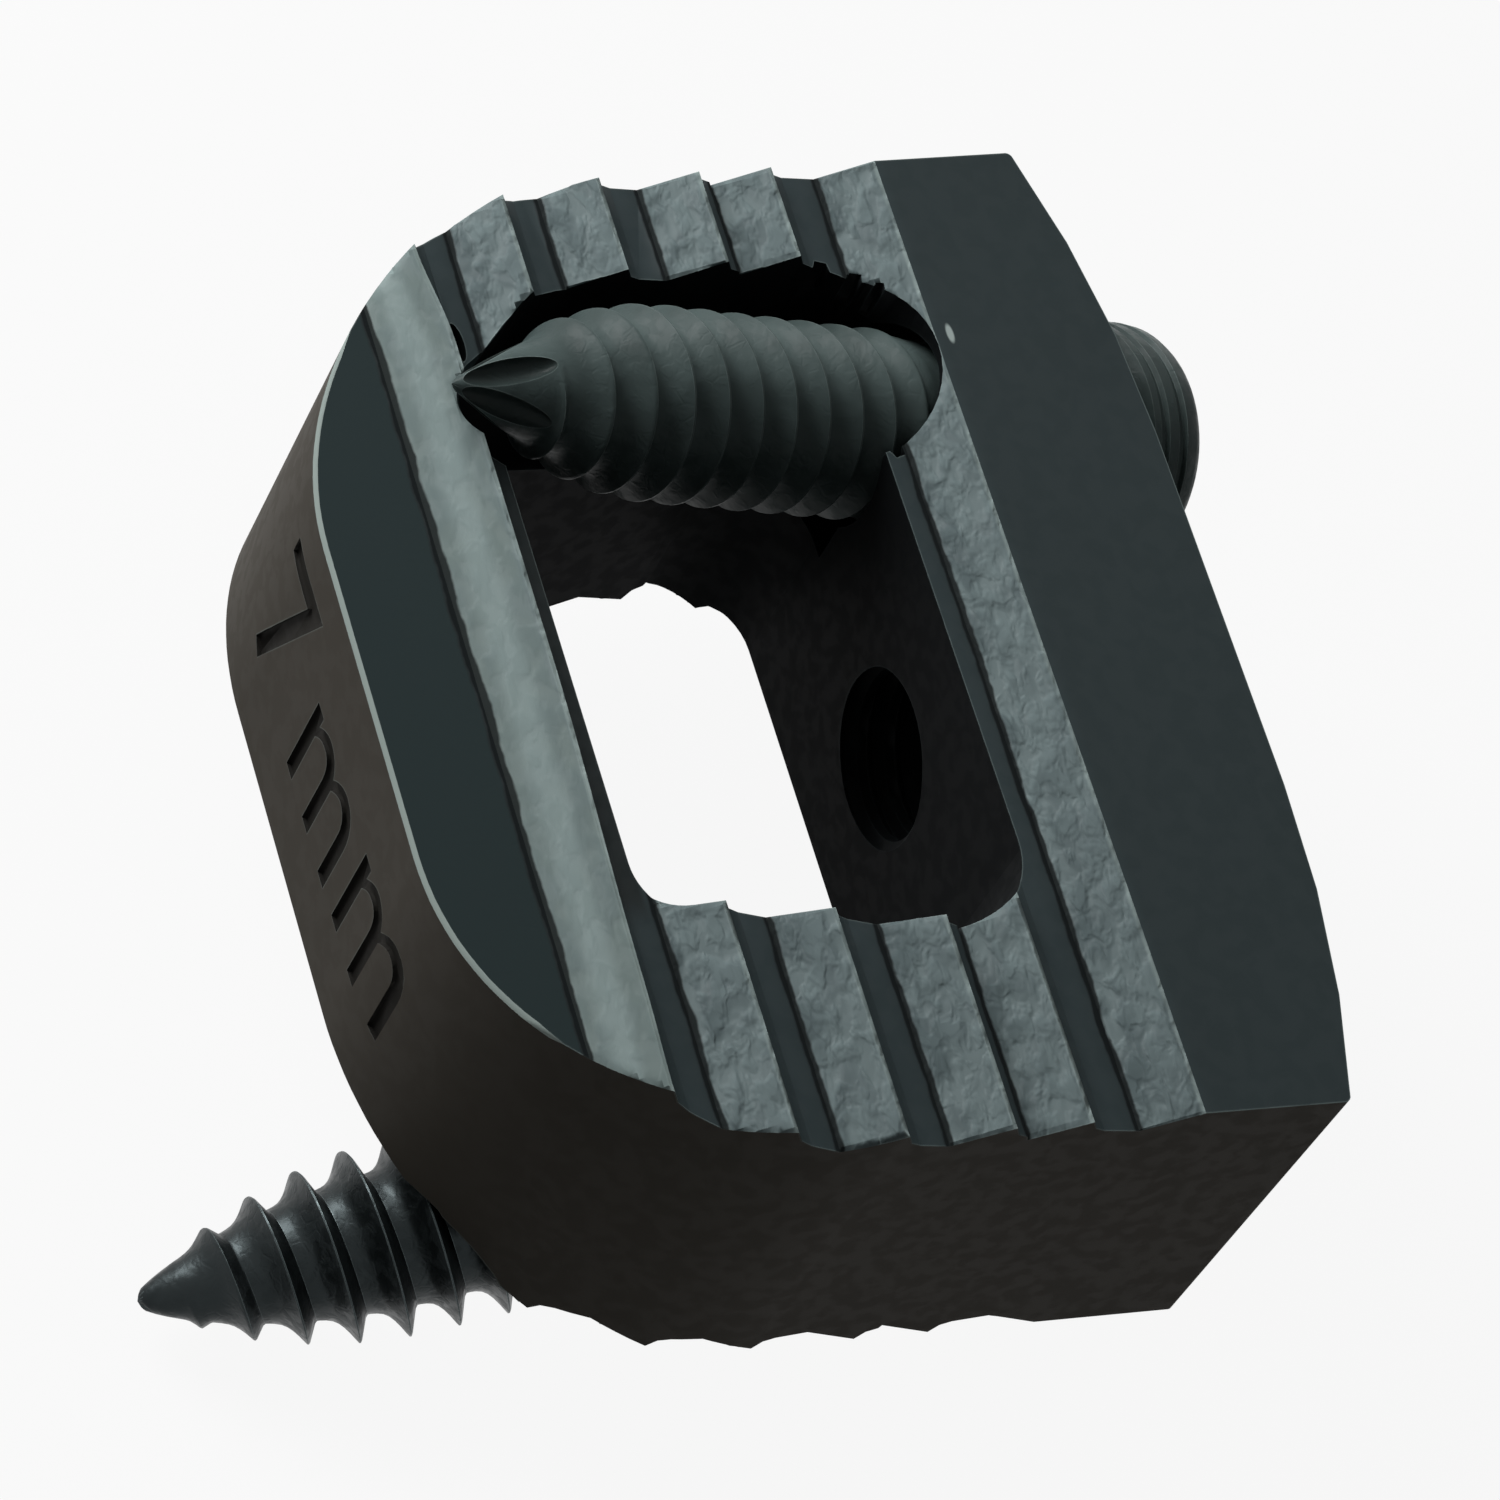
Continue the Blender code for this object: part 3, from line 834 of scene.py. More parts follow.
def outline_distance(x, y):
    """Return a point's distance inside the D, near enough to tell outer walls."""
    if y > CORNER_Y and abs(x) > FLAT_HALF:
        return BACK_CORNER_RADIUS - math.hypot(abs(x) - FLAT_HALF, y - CORNER_Y)
    return min(CAGE_WIDTH / 2.0 - abs(x), CAGE_DEPTH - y, max(y, 0.0))


def finish_of(face):
    """Choose a finish from a face's place and direction."""
    centre = face.center / MM
    level = abs(face.normal.z)
    outermost = abs(centre.z) > RIDGED_HEIGHT or centre.y > NOSE_START
    if level > LEVEL_SHARE and outermost and face.normal.z * centre.z > 0.0:
        behind = ridge_behind(centre.y)
        slopes_back = face.normal.y > SLOPE_SHARE and 0.0 < behind < RIDGE_FLANK
        return FLANK if slopes_back and abs(centre.z) > RIDGED_HEIGHT else SMOOTH
    by_front = centre.y < WALL_REACH and abs(centre.x) < FRONT_HOLES_HALF_WIDTH
    in_front_hole = by_front and face.normal.y > LOOKS_FORWARD
    by_wall = outline_distance(centre.x, centre.y) < WALL_REACH and level < LEVEL_SHARE
    return WALL if by_wall and not in_front_hole else INSIDE


def sort_faces():
    """Give every face of the cage its finish, and keep the mark's own."""
    mark_slot = cage.data.materials.find(mark_metal.name)
    chosen = []
    for face in cage.data.polygons:
        chosen.append(MARK if face.material_index == mark_slot else finish_of(face))
    return chosen


chosen = sort_faces()
cage.data.materials.clear()
for name in FINISHES:
    cage.data.materials.append(bpy.data.materials.new("to_finish_" + name))
for face, finish in zip(cage.data.polygons, chosen):
    face.material_index = finish
print({name: chosen.count(i) for i, name in enumerate(FINISHES)})

# %% [markdown]
# The sharp edge round the back is broken with a narrow chamfer. Its pale colour is a
# painted highlight, the line that shines along it. It gets a finish of its own.

# %% Break the back edge
CHAMFER_WIDTH = 0.06
CHAMFER_START = 12.95


def break_back_edge():
    """Chamfer the edge between the back wall and the smooth faces above and below."""
    shape = bmesh.new()
    shape.from_mesh(cage.data)
    edges = []
    for edge in shape.edges:
        finishes = {face.material_index for face in edge.link_faces}
        behind = all(vert.co.y > CHAMFER_START * MM for vert in edge.verts)
        if finishes == {SMOOTH, WALL} and behind:
            edges.append(edge)
    bmesh.ops.bevel(
        shape, geom=edges, offset=CHAMFER_WIDTH * MM, offset_type="OFFSET", segments=1,
        affect="EDGES", clamp_overlap=False, material=EDGE,
    )
    shape.to_mesh(cage.data)
    shape.free()
    print("chamfered edges:", len(edges))


break_back_edge()

# %% [markdown]
# ## Rough flanks
#
# The flanks are cut into a fine grid. Its points are lifted by a few hundredths of a
# millimetre, so that a small step shows round each flank, and then pushed in and out
# by noise in two sizes. The rearmost flank is calmer. The noise is the same in every run.

# %% Cut the flanks into a grid and push its points about
GRID_STEP = 0.11
FLANK_LIFT = 0.028
ROUGHNESS_HEIGHT = 0.020
GRID_SHARES = (0.05, 0.13, 0.23, 0.33, 0.43, 0.53, 0.63, 0.73, 0.83, 0.92, 0.97)
WAVES_PER_MM = 1.9
WAVE_DECAY = 0.7
WAVE_GAP = 2.2
WAVE_LAYERS = 3
CHIPS_PER_MM = 4.2
CHIP_LEVEL = 0.12
CHIP_SHARE = 2.4
REAR_CALM = 0.15


def slice_flanks(shape, place, direction):
    """Cut all the flanks along one plane."""
    flanks = [face for face in shape.faces if face.material_index == FLANK]
    slice_faces(shape, flanks, place, direction)


def roughen_flanks():
    """Subdivide the flanks and displace their inner points."""
    shape = bmesh.new()
    shape.from_mesh(cage.data)
    half = CAGE_WIDTH / 2.0
    for step in range(1, int(2.0 * half / GRID_STEP)):
        slice_flanks(shape, (-half + step * GRID_STEP, 0.0, 0.0), (1.0, 0.0, 0.0))
    for crest in crests:
        for share in GRID_SHARES:
            slice_flanks(shape, (0.0, crest + share * RIDGE_FLANK, 0.0), (0.0, 1.0, 0.0))
    shape.normal_update()
    moves = {}
    for vert in shape.verts:
        if vert.link_faces and all(face.material_index == FLANK for face in vert.link_faces):
            point = vert.co / MM
            waves = noise.fractal(point * WAVES_PER_MM, WAVE_DECAY, WAVE_GAP, WAVE_LAYERS)
            chips = max(0.0, noise.noise(point * CHIPS_PER_MM) - CHIP_LEVEL) * CHIP_SHARE
            calm = REAR_CALM if point.y > crests[-1] else 1.0
            height = FLANK_LIFT + ROUGHNESS_HEIGHT * (waves - chips) * calm
            moves[vert] = vert.normal * height * MM
    for vert, move in moves.items():
        vert.co += move
    shape.to_mesh(cage.data)
    shape.free()
    print("roughened points:", len(moves))


roughen_flanks()

# %% [markdown]
# The finishes need to know how far each point lies behind its crest: the painted highlight
# is on the crest and the black line of painted shade at the foot of the flank. That
# distance goes into a UV map, with the distance across the cage beside it, both in millimetres.

# %% Write each point's place on its ridge into a UV map
FAR_FROM_CRESTS = 5.0


def map_ridges():
    """Fill a UV map with (across, behind the crest) for the upper and lower faces."""
    layer = cage.data.uv_layers.new(name="ridge_place")
    for face in cage.data.polygons:
        centre = face.center / MM
        on_ridges = face.material_index in (SMOOTH, FLANK)
        offset = centre.y - ridge_behind(centre.y)
        for loop in face.loop_indices:
            point = cage.data.vertices[cage.data.loops[loop].vertex_index].co / MM
            behind = point.y - offset if on_ridges else FAR_FROM_CRESTS
            layer.data[loop].uv = (point.x, behind)


map_ridges()

# %% [markdown]
# The rearmost crest stands a little nearer the window at one end, as if its cutter had
# been set aslant. The points of that ridge slide forwards, most at the crest.

# %% Slant the rearmost crest
REAR_CREST_SLIDES = (0.05, 0.18)
SLIDE_RUN = (-6.0, 0.0)
SLIDE_START = 0.1
FLOOR_HEIGHT = 2.9
WALL_FADE = 1.4


def slant_rear_crest():
    """Slide the rearmost ridge's points forwards, but not at the outer walls."""
    foot = crests[-1] + RIDGE_FLANK
    least, most = REAR_CREST_SLIDES
    for vertex in cage.data.vertices:
        x, y, z = vertex.co / MM
        if abs(z) < FLOOR_HEIGHT or not crests[-1] - SLIDE_START < y < foot:
            continue
        slide = least + (most - least) * ease(math.copysign(x, x * z), *SLIDE_RUN)
        slide *= min(1.0, (foot - y) / RIDGE_FLANK)
        slide *= ease(outline_distance(x, y), 0.0, WALL_FADE)
        vertex.co.y -= slide * MM


slant_rear_crest()

# %% [markdown]
# Smooth shading needs good normals. Large faces lead, through a modifier, so that the
# slivers beside the cuts don't smear. The back wall's true normals are known, so they
# are simply written, and the mark's edges leave no shadows round them.

# %% Shade the cage
CAGE_SMOOTH_ANGLE = 24.0
LARGE_FACES_LEAD = 90
BACK_FACE_REACH = 0.05
LOOKS_BACK = 0.999

make_active(cage)
bpy.ops.object.shade_smooth_by_angle(angle=math.radians(CAGE_SMOOTH_ANGLE))
even_out = cage.modifiers.new("even_out", "WEIGHTED_NORMAL")
even_out.mode = "FACE_AREA"
even_out.weight = LARGE_FACES_LEAD
even_out.keep_sharp = True
apply_modifiers(cage)


def set_wall_normals():
    """Give the back wall and its corners their true normals, whatever is cut in them."""
    normals = [corner.vector.copy() for corner in cage.data.corner_normals]
    for face in cage.data.polygons:
        centre = face.center / MM
        round_part = on_corner(centre, math.copysign(1.0, centre.x))
        at_back = face.normal.y > LOOKS_BACK and centre.y > CAGE_DEPTH - BACK_FACE_REACH
        flat_part = abs(centre.x) <= FLAT_HALF and at_back
        if abs(face.normal.z) > UPRIGHT_TILT or not (round_part or flat_part):
            continue
        for loop in face.loop_indices:
            point = cage.data.vertices[cage.data.loops[loop].vertex_index].co / MM
            sideways = max(0.0, abs(point.x) - FLAT_HALF) if round_part else 0.0
            away = Vector((math.copysign(sideways, point.x), point.y - CORNER_Y, 0.0))
            normals[loop] = away.normalized()
    cage.data.normals_split_custom_set(normals)


set_wall_normals()
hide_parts("cage_body")

# %% [markdown]
# ## Materials
#
# Each metal is one Principled shader. What several finishes share is a node group: the
# mottled grain of blasted metal, the painted highlight along an edge, and the lines of
# painted highlight and painted shade that follow the ridges.

# %% Helpers for shader nodes
def new_group(name, inputs, outputs):
    """Return an empty node group with named sockets, and its two ends."""
    group = bpy.data.node_groups.new(name, "ShaderNodeTree")
    for socket, kind, default in inputs:
        made = group.interface.new_socket(socket, in_out="INPUT", socket_type=kind)
        if default is not None:
            made.default_value = default
    for socket in outputs:
        group.interface.new_socket(socket, in_out="OUTPUT", socket_type="NodeSocketFloat")
    return group, group.nodes.new("NodeGroupInput"), group.nodes.new("NodeGroupOutput")


def add_node(tree, kind, **settings):
    """Add a node. A setting names a property, or an input if it is not a property."""
    node = tree.nodes.new(kind)
    for name, value in settings.items():
        if hasattr(node, name):
            setattr(node, name, value)
        else:
            node.inputs[name.replace("_", " ")].default_value = value
    return node


def feed(tree, socket, value):
    """Link a socket to another, or set it to a plain value."""
    if isinstance(value, bpy.types.NodeSocket):
        tree.links.new(value, socket)
    else:
        socket.default_value = value


def maths(tree, operation, first, second=0.5):
    """Add a Math node whose two inputs are sockets or plain numbers."""
    node = tree.nodes.new("ShaderNodeMath")
    node.operation = operation
    feed(tree, node.inputs[0], first)
    feed(tree, node.inputs[1], second)
    return node.outputs[0]


def remap(tree, value, low, high, to_low=0.0, to_high=1.0):
    """Add a smooth Map Range node and return its result."""
    node = tree.nodes.new("ShaderNodeMapRange")
    node.interpolation_type = "SMOOTHSTEP"
    feed(tree, node.inputs["Value"], value)
    for name, number in (
        ("From Min", low), ("From Max", high), ("To Min", to_low), ("To Max", to_high),
    ):
        node.inputs[name].default_value = number
    return node.outputs["Result"]


def blend(tree, share, first, second):
    """Mix two colours, each a socket or a plain colour."""
    node = tree.nodes.new("ShaderNodeMix")
    node.data_type = "RGBA"
    feed(tree, node.inputs[0], share)
    feed(tree, node.inputs[6], first)
    feed(tree, node.inputs[7], second)
    return node.outputs[2]


def colour(hexadecimal):
    """Return a linear colour from the usual six digits."""
    channels = [int(hexadecimal[i:i + 2], 16) / 255.0 for i in (0, 2, 4)]
    linear = [c / 12.92 if c <= 0.04045 else ((c + 0.055) / 1.055) ** 2.4 for c in channels]
    return (*linear, 1.0)


# %% [markdown]
# Blasted metal is mottled: broad patches, small flakes and fine cracks between them.
# Two noises and a cell pattern draw them, and the same masks give the bump its height.

# %% Group: mottled grain
grain, grain_in, grain_out = new_group(
    "mottled_grain",
    (("Vector", "NodeSocketVector", None), ("Patch Scale", "NodeSocketFloat", 2.0),
     ("Flake Scale", "NodeSocketFloat", 6.0), ("Crack Depth", "NodeSocketFloat", 0.7)),
    ("Patches", "Flakes", "Cracks", "Height"),
)
patch_noise = add_node(grain, "ShaderNodeTexNoise", Detail=2.0, Roughness=0.5, Distortion=0.4)
flake_noise = add_node(grain, "ShaderNodeTexNoise", Detail=2.0, Roughness=0.5, Distortion=0.3)
crack_cells = add_node(grain, "ShaderNodeTexVoronoi", feature="DISTANCE_TO_EDGE")
for node, scale in (
    (patch_noise, "Patch Scale"), (flake_noise, "Flake Scale"), (crack_cells, "Flake Scale"),
):
    grain.links.new(grain_in.outputs["Vector"], node.inputs["Vector"])
    grain.links.new(grain_in.outputs[scale], node.inputs["Scale"])
patches = remap(grain, patch_noise.outputs[0], 0.36, 0.64)
flakes = remap(grain, flake_noise.outputs[0], 0.38, 0.62)
cracks = remap(grain, crack_cells.outputs["Distance"], 0.02, 0.12, 1.0, 0.0)
cracks = maths(grain, "MULTIPLY", cracks, remap(grain, flake_noise.outputs[0], 0.45, 0.6))
height = maths(grain, "ADD", maths(grain, "MULTIPLY", flakes, 0.5),
               maths(grain, "MULTIPLY", patches, 0.6))
crack_depth = maths(grain, "MULTIPLY", cracks, grain_in.outputs["Crack Depth"])
height = maths(grain, "SUBTRACT", height, crack_depth)
for name, socket in (
    ("Patches", patches), ("Flakes", flakes), ("Cracks", cracks), ("Height", height),
):
    grain.links.new(socket, grain_out.inputs[name])

# %% [markdown]
# Edges get a painted highlight: a pale line in the colour where light would catch them.
# The Bevel node rounds the normal near an edge, so where it no longer agrees with the
# true one there is an edge. A noise breaks the line up.

# %% Group: painted edge highlights
edge_highlight_group, edge_highlight_in, edge_highlight_out = new_group(
    "painted_edge_highlight",
    (("Vector", "NodeSocketVector", None), ("Radius", "NodeSocketFloat", 0.05 * MM)),
    ("Mask",),
)
rounded = add_node(edge_highlight_group, "ShaderNodeBevel", samples=8)
edge_highlight_group.links.new(edge_highlight_in.outputs["Radius"], rounded.inputs["Radius"])
true_face = add_node(edge_highlight_group, "ShaderNodeNewGeometry")
agreement = add_node(edge_highlight_group, "ShaderNodeVectorMath", operation="DOT_PRODUCT")
edge_highlight_group.links.new(rounded.outputs["Normal"], agreement.inputs[0])
edge_highlight_group.links.new(true_face.outputs["Normal"], agreement.inputs[1])
edge_highlight_mask = remap(edge_highlight_group, agreement.outputs["Value"], 0.985, 0.90, 0.0, 1.0)
edge_noise = add_node(edge_highlight_group, "ShaderNodeTexNoise", Scale=1500.0, Detail=3.0)
edge_highlight_group.links.new(edge_highlight_in.outputs["Vector"], edge_noise.inputs["Vector"])
broken = remap(edge_highlight_group, edge_noise.outputs[0], 0.30, 0.50, 0.45, 1.0)
edge_highlight_group.links.new(maths(edge_highlight_group, "MULTIPLY", edge_highlight_mask, broken), edge_highlight_out.inputs["Mask"])

# %% [markdown]
# Each ridge gets a painted highlight, a bright line on its crest, and painted shade: a
# black line in the crease at the foot of its flank, and a darker floor just behind it.
# They are read from the UV map, so they follow every ridge alike, and sway a little.

# %% Group: lines of painted highlight and shade that follow the ridges
SWAY = 0.16
FOOT_STARTS = (RIDGE_FLANK - 0.07, RIDGE_FLANK - 0.03)
FOOT_ENDS = (RIDGE_FLANK + 0.05, RIDGE_FLANK + 0.11)

ridges, ridges_in, ridges_out = new_group(
    "ridge_lines",
    (("Vector", "NodeSocketVector", None), ("Place", "NodeSocketVector", None)),
    ("Foot", "Crest", "Hollow", "Streak", "Foot Painted Shade"),
)
wave_noise = add_node(ridges, "ShaderNodeTexNoise", Scale=1100.0, Detail=3.0, Roughness=0.6)
ridges.links.new(ridges_in.outputs["Vector"], wave_noise.inputs["Vector"])
split = add_node(ridges, "ShaderNodeSeparateXYZ")
ridges.links.new(ridges_in.outputs["Place"], split.inputs[0])
sway = maths(ridges, "MULTIPLY", maths(ridges, "SUBTRACT", wave_noise.outputs[0], 0.5), SWAY)
behind = maths(ridges, "ADD", split.outputs["Y"], sway)
# Painted shade: a black line in the crease at the foot of each flank.
foot = maths(
    ridges, "MULTIPLY",
    remap(ridges, behind, *FOOT_STARTS),
    remap(ridges, behind, *FOOT_ENDS, 1.0, 0.0),
)
# Painted highlight: a bright line along each crest.
crest_painted_highlight = maths(
    ridges, "MULTIPLY",
    remap(ridges, split.outputs["Y"], 0.03, 0.09, 1.0, 0.0),
    remap(ridges, wave_noise.outputs[0], 0.32, 0.52, 0.3, 1.0),
)
hollow = remap(ridges, behind, 0.35, 0.80)
streak = maths(
    ridges, "MULTIPLY",
    remap(ridges, behind, 0.22, 0.45),
    remap(ridges, behind, 0.55, 0.82, 1.0, 0.0),
)
# Painted shade on the floor just behind each flank's foot, fading towards the next crest.
foot_painted_shade = remap(ridges, behind, RIDGE_FLANK, RIDGE_FLANK + 0.45, 1.0, 0.0)
for name, socket in (
    ("Foot", foot), ("Crest", crest_painted_highlight), ("Hollow", hollow), ("Streak", streak),
    ("Foot Painted Shade", foot_painted_shade),
):
    ridges.links.new(socket, ridges_out.inputs[name])


# %% Helpers that start and dress a metal
def start_metal(name, roughness, metallic, specular):
    """Return a material, its node tree, its shader and its object coordinates."""
    material = bpy.data.materials.new(name)
    material.use_nodes = True
    tree = material.node_tree
    shader = tree.nodes["Principled BSDF"]
    shader.inputs["Roughness"].default_value = roughness
    shader.inputs["Metallic"].default_value = metallic
    shader.inputs["Specular IOR Level"].default_value = specular
    coordinates = tree.nodes.new("ShaderNodeTexCoord").outputs["Object"]
    return material, tree, shader, coordinates


def use_group(tree, group, coordinates, **settings):
    """Place a group in a material with its own values."""
    node = tree.nodes.new("ShaderNodeGroup")
    node.node_tree = group
    tree.links.new(coordinates, node.inputs["Vector"])
    for name, value in settings.items():
        node.inputs[name.replace("_", " ")].default_value = value
    return node


def ridge_place(tree, group_node):
    """Feed a group the UV map that holds each point's place on its ridge."""
    place = tree.nodes.new("ShaderNodeUVMap")
    place.uv_map = "ridge_place"
    tree.links.new(place.outputs["UV"], group_node.inputs["Place"])


def add_bump(tree, shader, height, strength, distance):
    """Give the shader a bump from a height, its distance in millimetres."""
    bump = tree.nodes.new("ShaderNodeBump")
    bump.inputs["Strength"].default_value = strength
    bump.inputs["Distance"].default_value = distance * MM
    tree.links.new(height, bump.inputs["Height"])
    tree.links.new(bump.outputs["Normal"], shader.inputs["Normal"])


def vary_roughness(tree, shader, mask, low, high, dull=0.0):
    """Let the roughness follow a mask, but nowhere less than what is dull."""
    roughness = remap(tree, mask, 0.0, 1.0, low, high)
    tree.links.new(maths(tree, "MAXIMUM", roughness, dull), shader.inputs["Roughness"])


def scaled(tree, mask, share):
    """Weaken a mask."""
    return maths(tree, "MULTIPLY", mask, share)


def along(tree, coordinates, axis):
    """Return one of the object coordinates, in metres."""
    parts = add_node(tree, "ShaderNodeSeparateXYZ")
    tree.links.new(coordinates, parts.inputs[0])
    return parts.outputs[axis]


def between(tree, value, limits, to_low=0.0, to_high=1.0):
    """Return a mask that changes between two places, given in millimetres."""
    low, high = limits
    return remap(tree, value, low * MM, high * MM, to_low, to_high)


# %% [markdown]
# The front band, the floors between the ridges and the rounded nose were milled and
# left smooth, so they are dark. One small spot in the band is pale. The nose is darker
# and duller. The narrow floor beside the window lies in shade, which is painted dark, and
# the floors behind the flanks, the feet of the flanks and the edges carry the painted
# shade and painted highlight of the ridge lines. All of it is one material, because
# masks by place change it more softly than borders of faces.

# %% Smooth dark metal: the front band, the floors between the ridges and the nose
EDGE_RADIUS = 0.05 * MM
PALE_SPOT_CENTRE = (5.35, 3.03, 3.5)
PALE_SPOT_HALF_SIZES = (0.20, 0.07, 0.5)
PALE_SPOT_FADE = (0.6, 1.1)
PALE_SPOT_STRENGTH = 0.8
BAND_END = (3.1, 3.3)
NOSE_BEGINNING = (12.5, 12.7)
WINDOW_SIDES = (4.0, 4.7)
WINDOW_FLOOR_START = (10.95, 11.1)
WINDOW_FLOOR_END = (11.9, 12.0)


def pale_spot_mask(tree, coordinates):
    """Return a mask for the one small pale spot in the front band."""
    placed = add_node(tree, "ShaderNodeMapping", vector_type="TEXTURE")
    placed.inputs["Location"].default_value = [value * MM for value in PALE_SPOT_CENTRE]
    placed.inputs["Scale"].default_value = [value * MM for value in PALE_SPOT_HALF_SIZES]
    tree.links.new(coordinates, placed.inputs["Vector"])
    distance = add_node(tree, "ShaderNodeVectorMath", operation="LENGTH")
    tree.links.new(placed.outputs["Vector"], distance.inputs[0])
    return remap(tree, distance.outputs["Value"], *PALE_SPOT_FADE, PALE_SPOT_STRENGTH, 0.0)


def window_floor_painted_shade(tree, coordinates):
    """Return a mask for the painted shade on the narrow floor between the window and the rearmost
    crest.
    """
    across = maths(tree, "ABSOLUTE", along(tree, coordinates, "X"))
    beside = between(tree, across, WINDOW_SIDES, 1.0, 0.0)
    behind = between(tree, along(tree, coordinates, "Y"), WINDOW_FLOOR_START)
    before = between(tree, along(tree, coordinates, "Y"), WINDOW_FLOOR_END, 1.0, 0.0)
    return maths(tree, "MULTIPLY", beside, maths(tree, "MULTIPLY", behind, before))


def make_smooth_metal():
    """Return the dark metal of the front band, the floors and the nose."""
    material, tree, shader, coordinates = start_metal("smooth_dark_metal", 0.6, 0.0, 0.12)
    surface = use_group(tree, grain, coordinates, Patch_Scale=420.0, Flake_Scale=2600.0)
    edges = use_group(tree, edge_highlight_group, coordinates, Radius=EDGE_RADIUS)
    lines = use_group(tree, ridges, coordinates)
    ridge_place(tree, lines)
    mottle = scaled(tree, surface.outputs["Patches"], 0.2)
    base = blend(tree, mottle, colour("2f393b"), colour("293234"))
    # Painted shade on the floor just behind each flank.
    base = blend(tree, scaled(tree, lines.outputs["Foot Painted Shade"], 0.45), base, colour("222a2b"))
    band = between(tree, along(tree, coordinates, "Y"), BAND_END, 0.13, 0.0)
    base = blend(tree, band, base, colour("000000"))
    nose = between(tree, along(tree, coordinates, "Y"), NOSE_BEGINNING)
    base = blend(tree, nose, base, colour("182324"))
    # Painted shade on the narrow floor beside the window.
    base = blend(tree, scaled(tree, window_floor_painted_shade(tree, coordinates), 0.75), base, colour("111413"))
    # Painted highlight along the edges.
    base = blend(tree, scaled(tree, edges.outputs["Mask"], 0.4), base, colour("7c8a88"))
    # Painted shade: a black line at the foot of each flank.
    base = blend(tree, scaled(tree, lines.outputs["Foot"], 0.9), base, colour("0c0f10"))
    # A small pale spot in the front band.
    base = blend(tree, pale_spot_mask(tree, coordinates), base, colour("a3b0ad"))
    tree.links.new(base, shader.inputs["Base Color"])
    dull = maths(tree, "MAXIMUM", lines.outputs["Foot"], scaled(tree, nose, 0.8))
    vary_roughness(tree, shader, surface.outputs["Flakes"], 0.54, 0.66, dull)
    add_bump(tree, shader, surface.outputs["Height"], 0.25, 0.004)
    return material


# %% [markdown]
# The flanks are blasted, so they are pale and rough, and darker in patches low down. The
# rearmost flank is the smoothest and has a pale streak. The pattern is drawn out along
# the ridges, as the tool ran. The crests and edges get a painted highlight, and the foot
# of each flank a black line of painted shade.

# %% Rough pale metal: the flanks of the ridges
STRETCH_ALONG_RIDGE = 0.6
REARMOST_BEGINNING = (11.5, 11.64)
# The colour of the painted highlight on crests and edges.
HIGHLIGHT_COLOUR = "93a19e"


def stretched(tree, coordinates):
    """Draw a pattern out along the ridges, which run along X."""
    placed = add_node(tree, "ShaderNodeMapping")
    placed.inputs["Scale"].default_value = (STRETCH_ALONG_RIDGE, 1.0, 1.0)
    tree.links.new(coordinates, placed.inputs["Vector"])
    return placed.outputs["Vector"]


def make_flank_metal():
    """Return the pale metal of the ridges' flanks."""
    material, tree, shader, coordinates = start_metal("rough_flank_metal", 0.7, 0.0, 0.2)
    surface = use_group(
        tree, grain, stretched(tree, coordinates),
        Patch_Scale=2000.0, Flake_Scale=4000.0, Crack_Depth=0.05,
    )
    edges = use_group(tree, edge_highlight_group, coordinates, Radius=EDGE_RADIUS)
    lines = use_group(tree, ridges, coordinates)
    ridge_place(tree, lines)
    rearmost = between(tree, along(tree, coordinates, "Y"), REARMOST_BEGINNING)
    patches = surface.outputs["Patches"]
    flakes = surface.outputs["Flakes"]
    base = blend(tree, scaled(tree, patches, 0.7), colour("5b6869"), colour("4c585a"))
    base = blend(tree, scaled(tree, flakes, 0.30), base, colour("6f7d7e"))
    crackle = maths(tree, "MULTIPLY", surface.outputs["Cracks"],
                    remap(tree, lines.outputs["Hollow"], 0.0, 1.0, 0.04, 0.30))
    # Darker in patches towards the foot of each flank.
    darker_low_down = maths(tree, "MULTIPLY", lines.outputs["Hollow"],
                      remap(tree, patches, 0.2, 0.9, 0.0, 0.5))
    rough_look = blend(tree, crackle, base, colour("2c3638"))
    rough_look = blend(tree, darker_low_down, rough_look, colour("3e4a4c"))
    calm_look = blend(tree, scaled(tree, patches, 0.25), colour("64716f"), colour("58666a"))
    calm_look = blend(tree, scaled(tree, lines.outputs["Streak"], 0.6), calm_look, colour("7e8d8c"))
    base = blend(tree, rearmost, rough_look, calm_look)
    # Painted highlight on the crests and the edges, and painted shade at the foot of each flank.
    base = blend(tree, scaled(tree, lines.outputs["Crest"], 0.45), base, colour(HIGHLIGHT_COLOUR))
    base = blend(tree, scaled(tree, edges.outputs["Mask"], 0.3), base, colour(HIGHLIGHT_COLOUR))
    base = blend(tree, scaled(tree, lines.outputs["Foot"], 0.92), base, colour("0d1010"))
    tree.links.new(base, shader.inputs["Base Color"])
    vary_roughness(tree, shader, flakes, 0.58, 0.78, lines.outputs["Foot"])
    calm = remap(tree, rearmost, 0.0, 1.0, 1.0, 0.25)
    height = maths(tree, "MULTIPLY", surface.outputs["Height"], calm)
    add_bump(tree, shader, height, 0.75, 0.055)
    return material


# %% [markdown]
# The walls, the inside, the mark and the chamfer are nearly even, so one function makes
# them all, each with its own colours and with more or less of a painted edge highlight.
# The inside's near-black is painted shade, and the chamfer's pale colour a painted highlight.

# %% Plain metals: the walls, the inside, the mark and the back edge
WALL_EDGE_RADIUS = 0.06 * MM


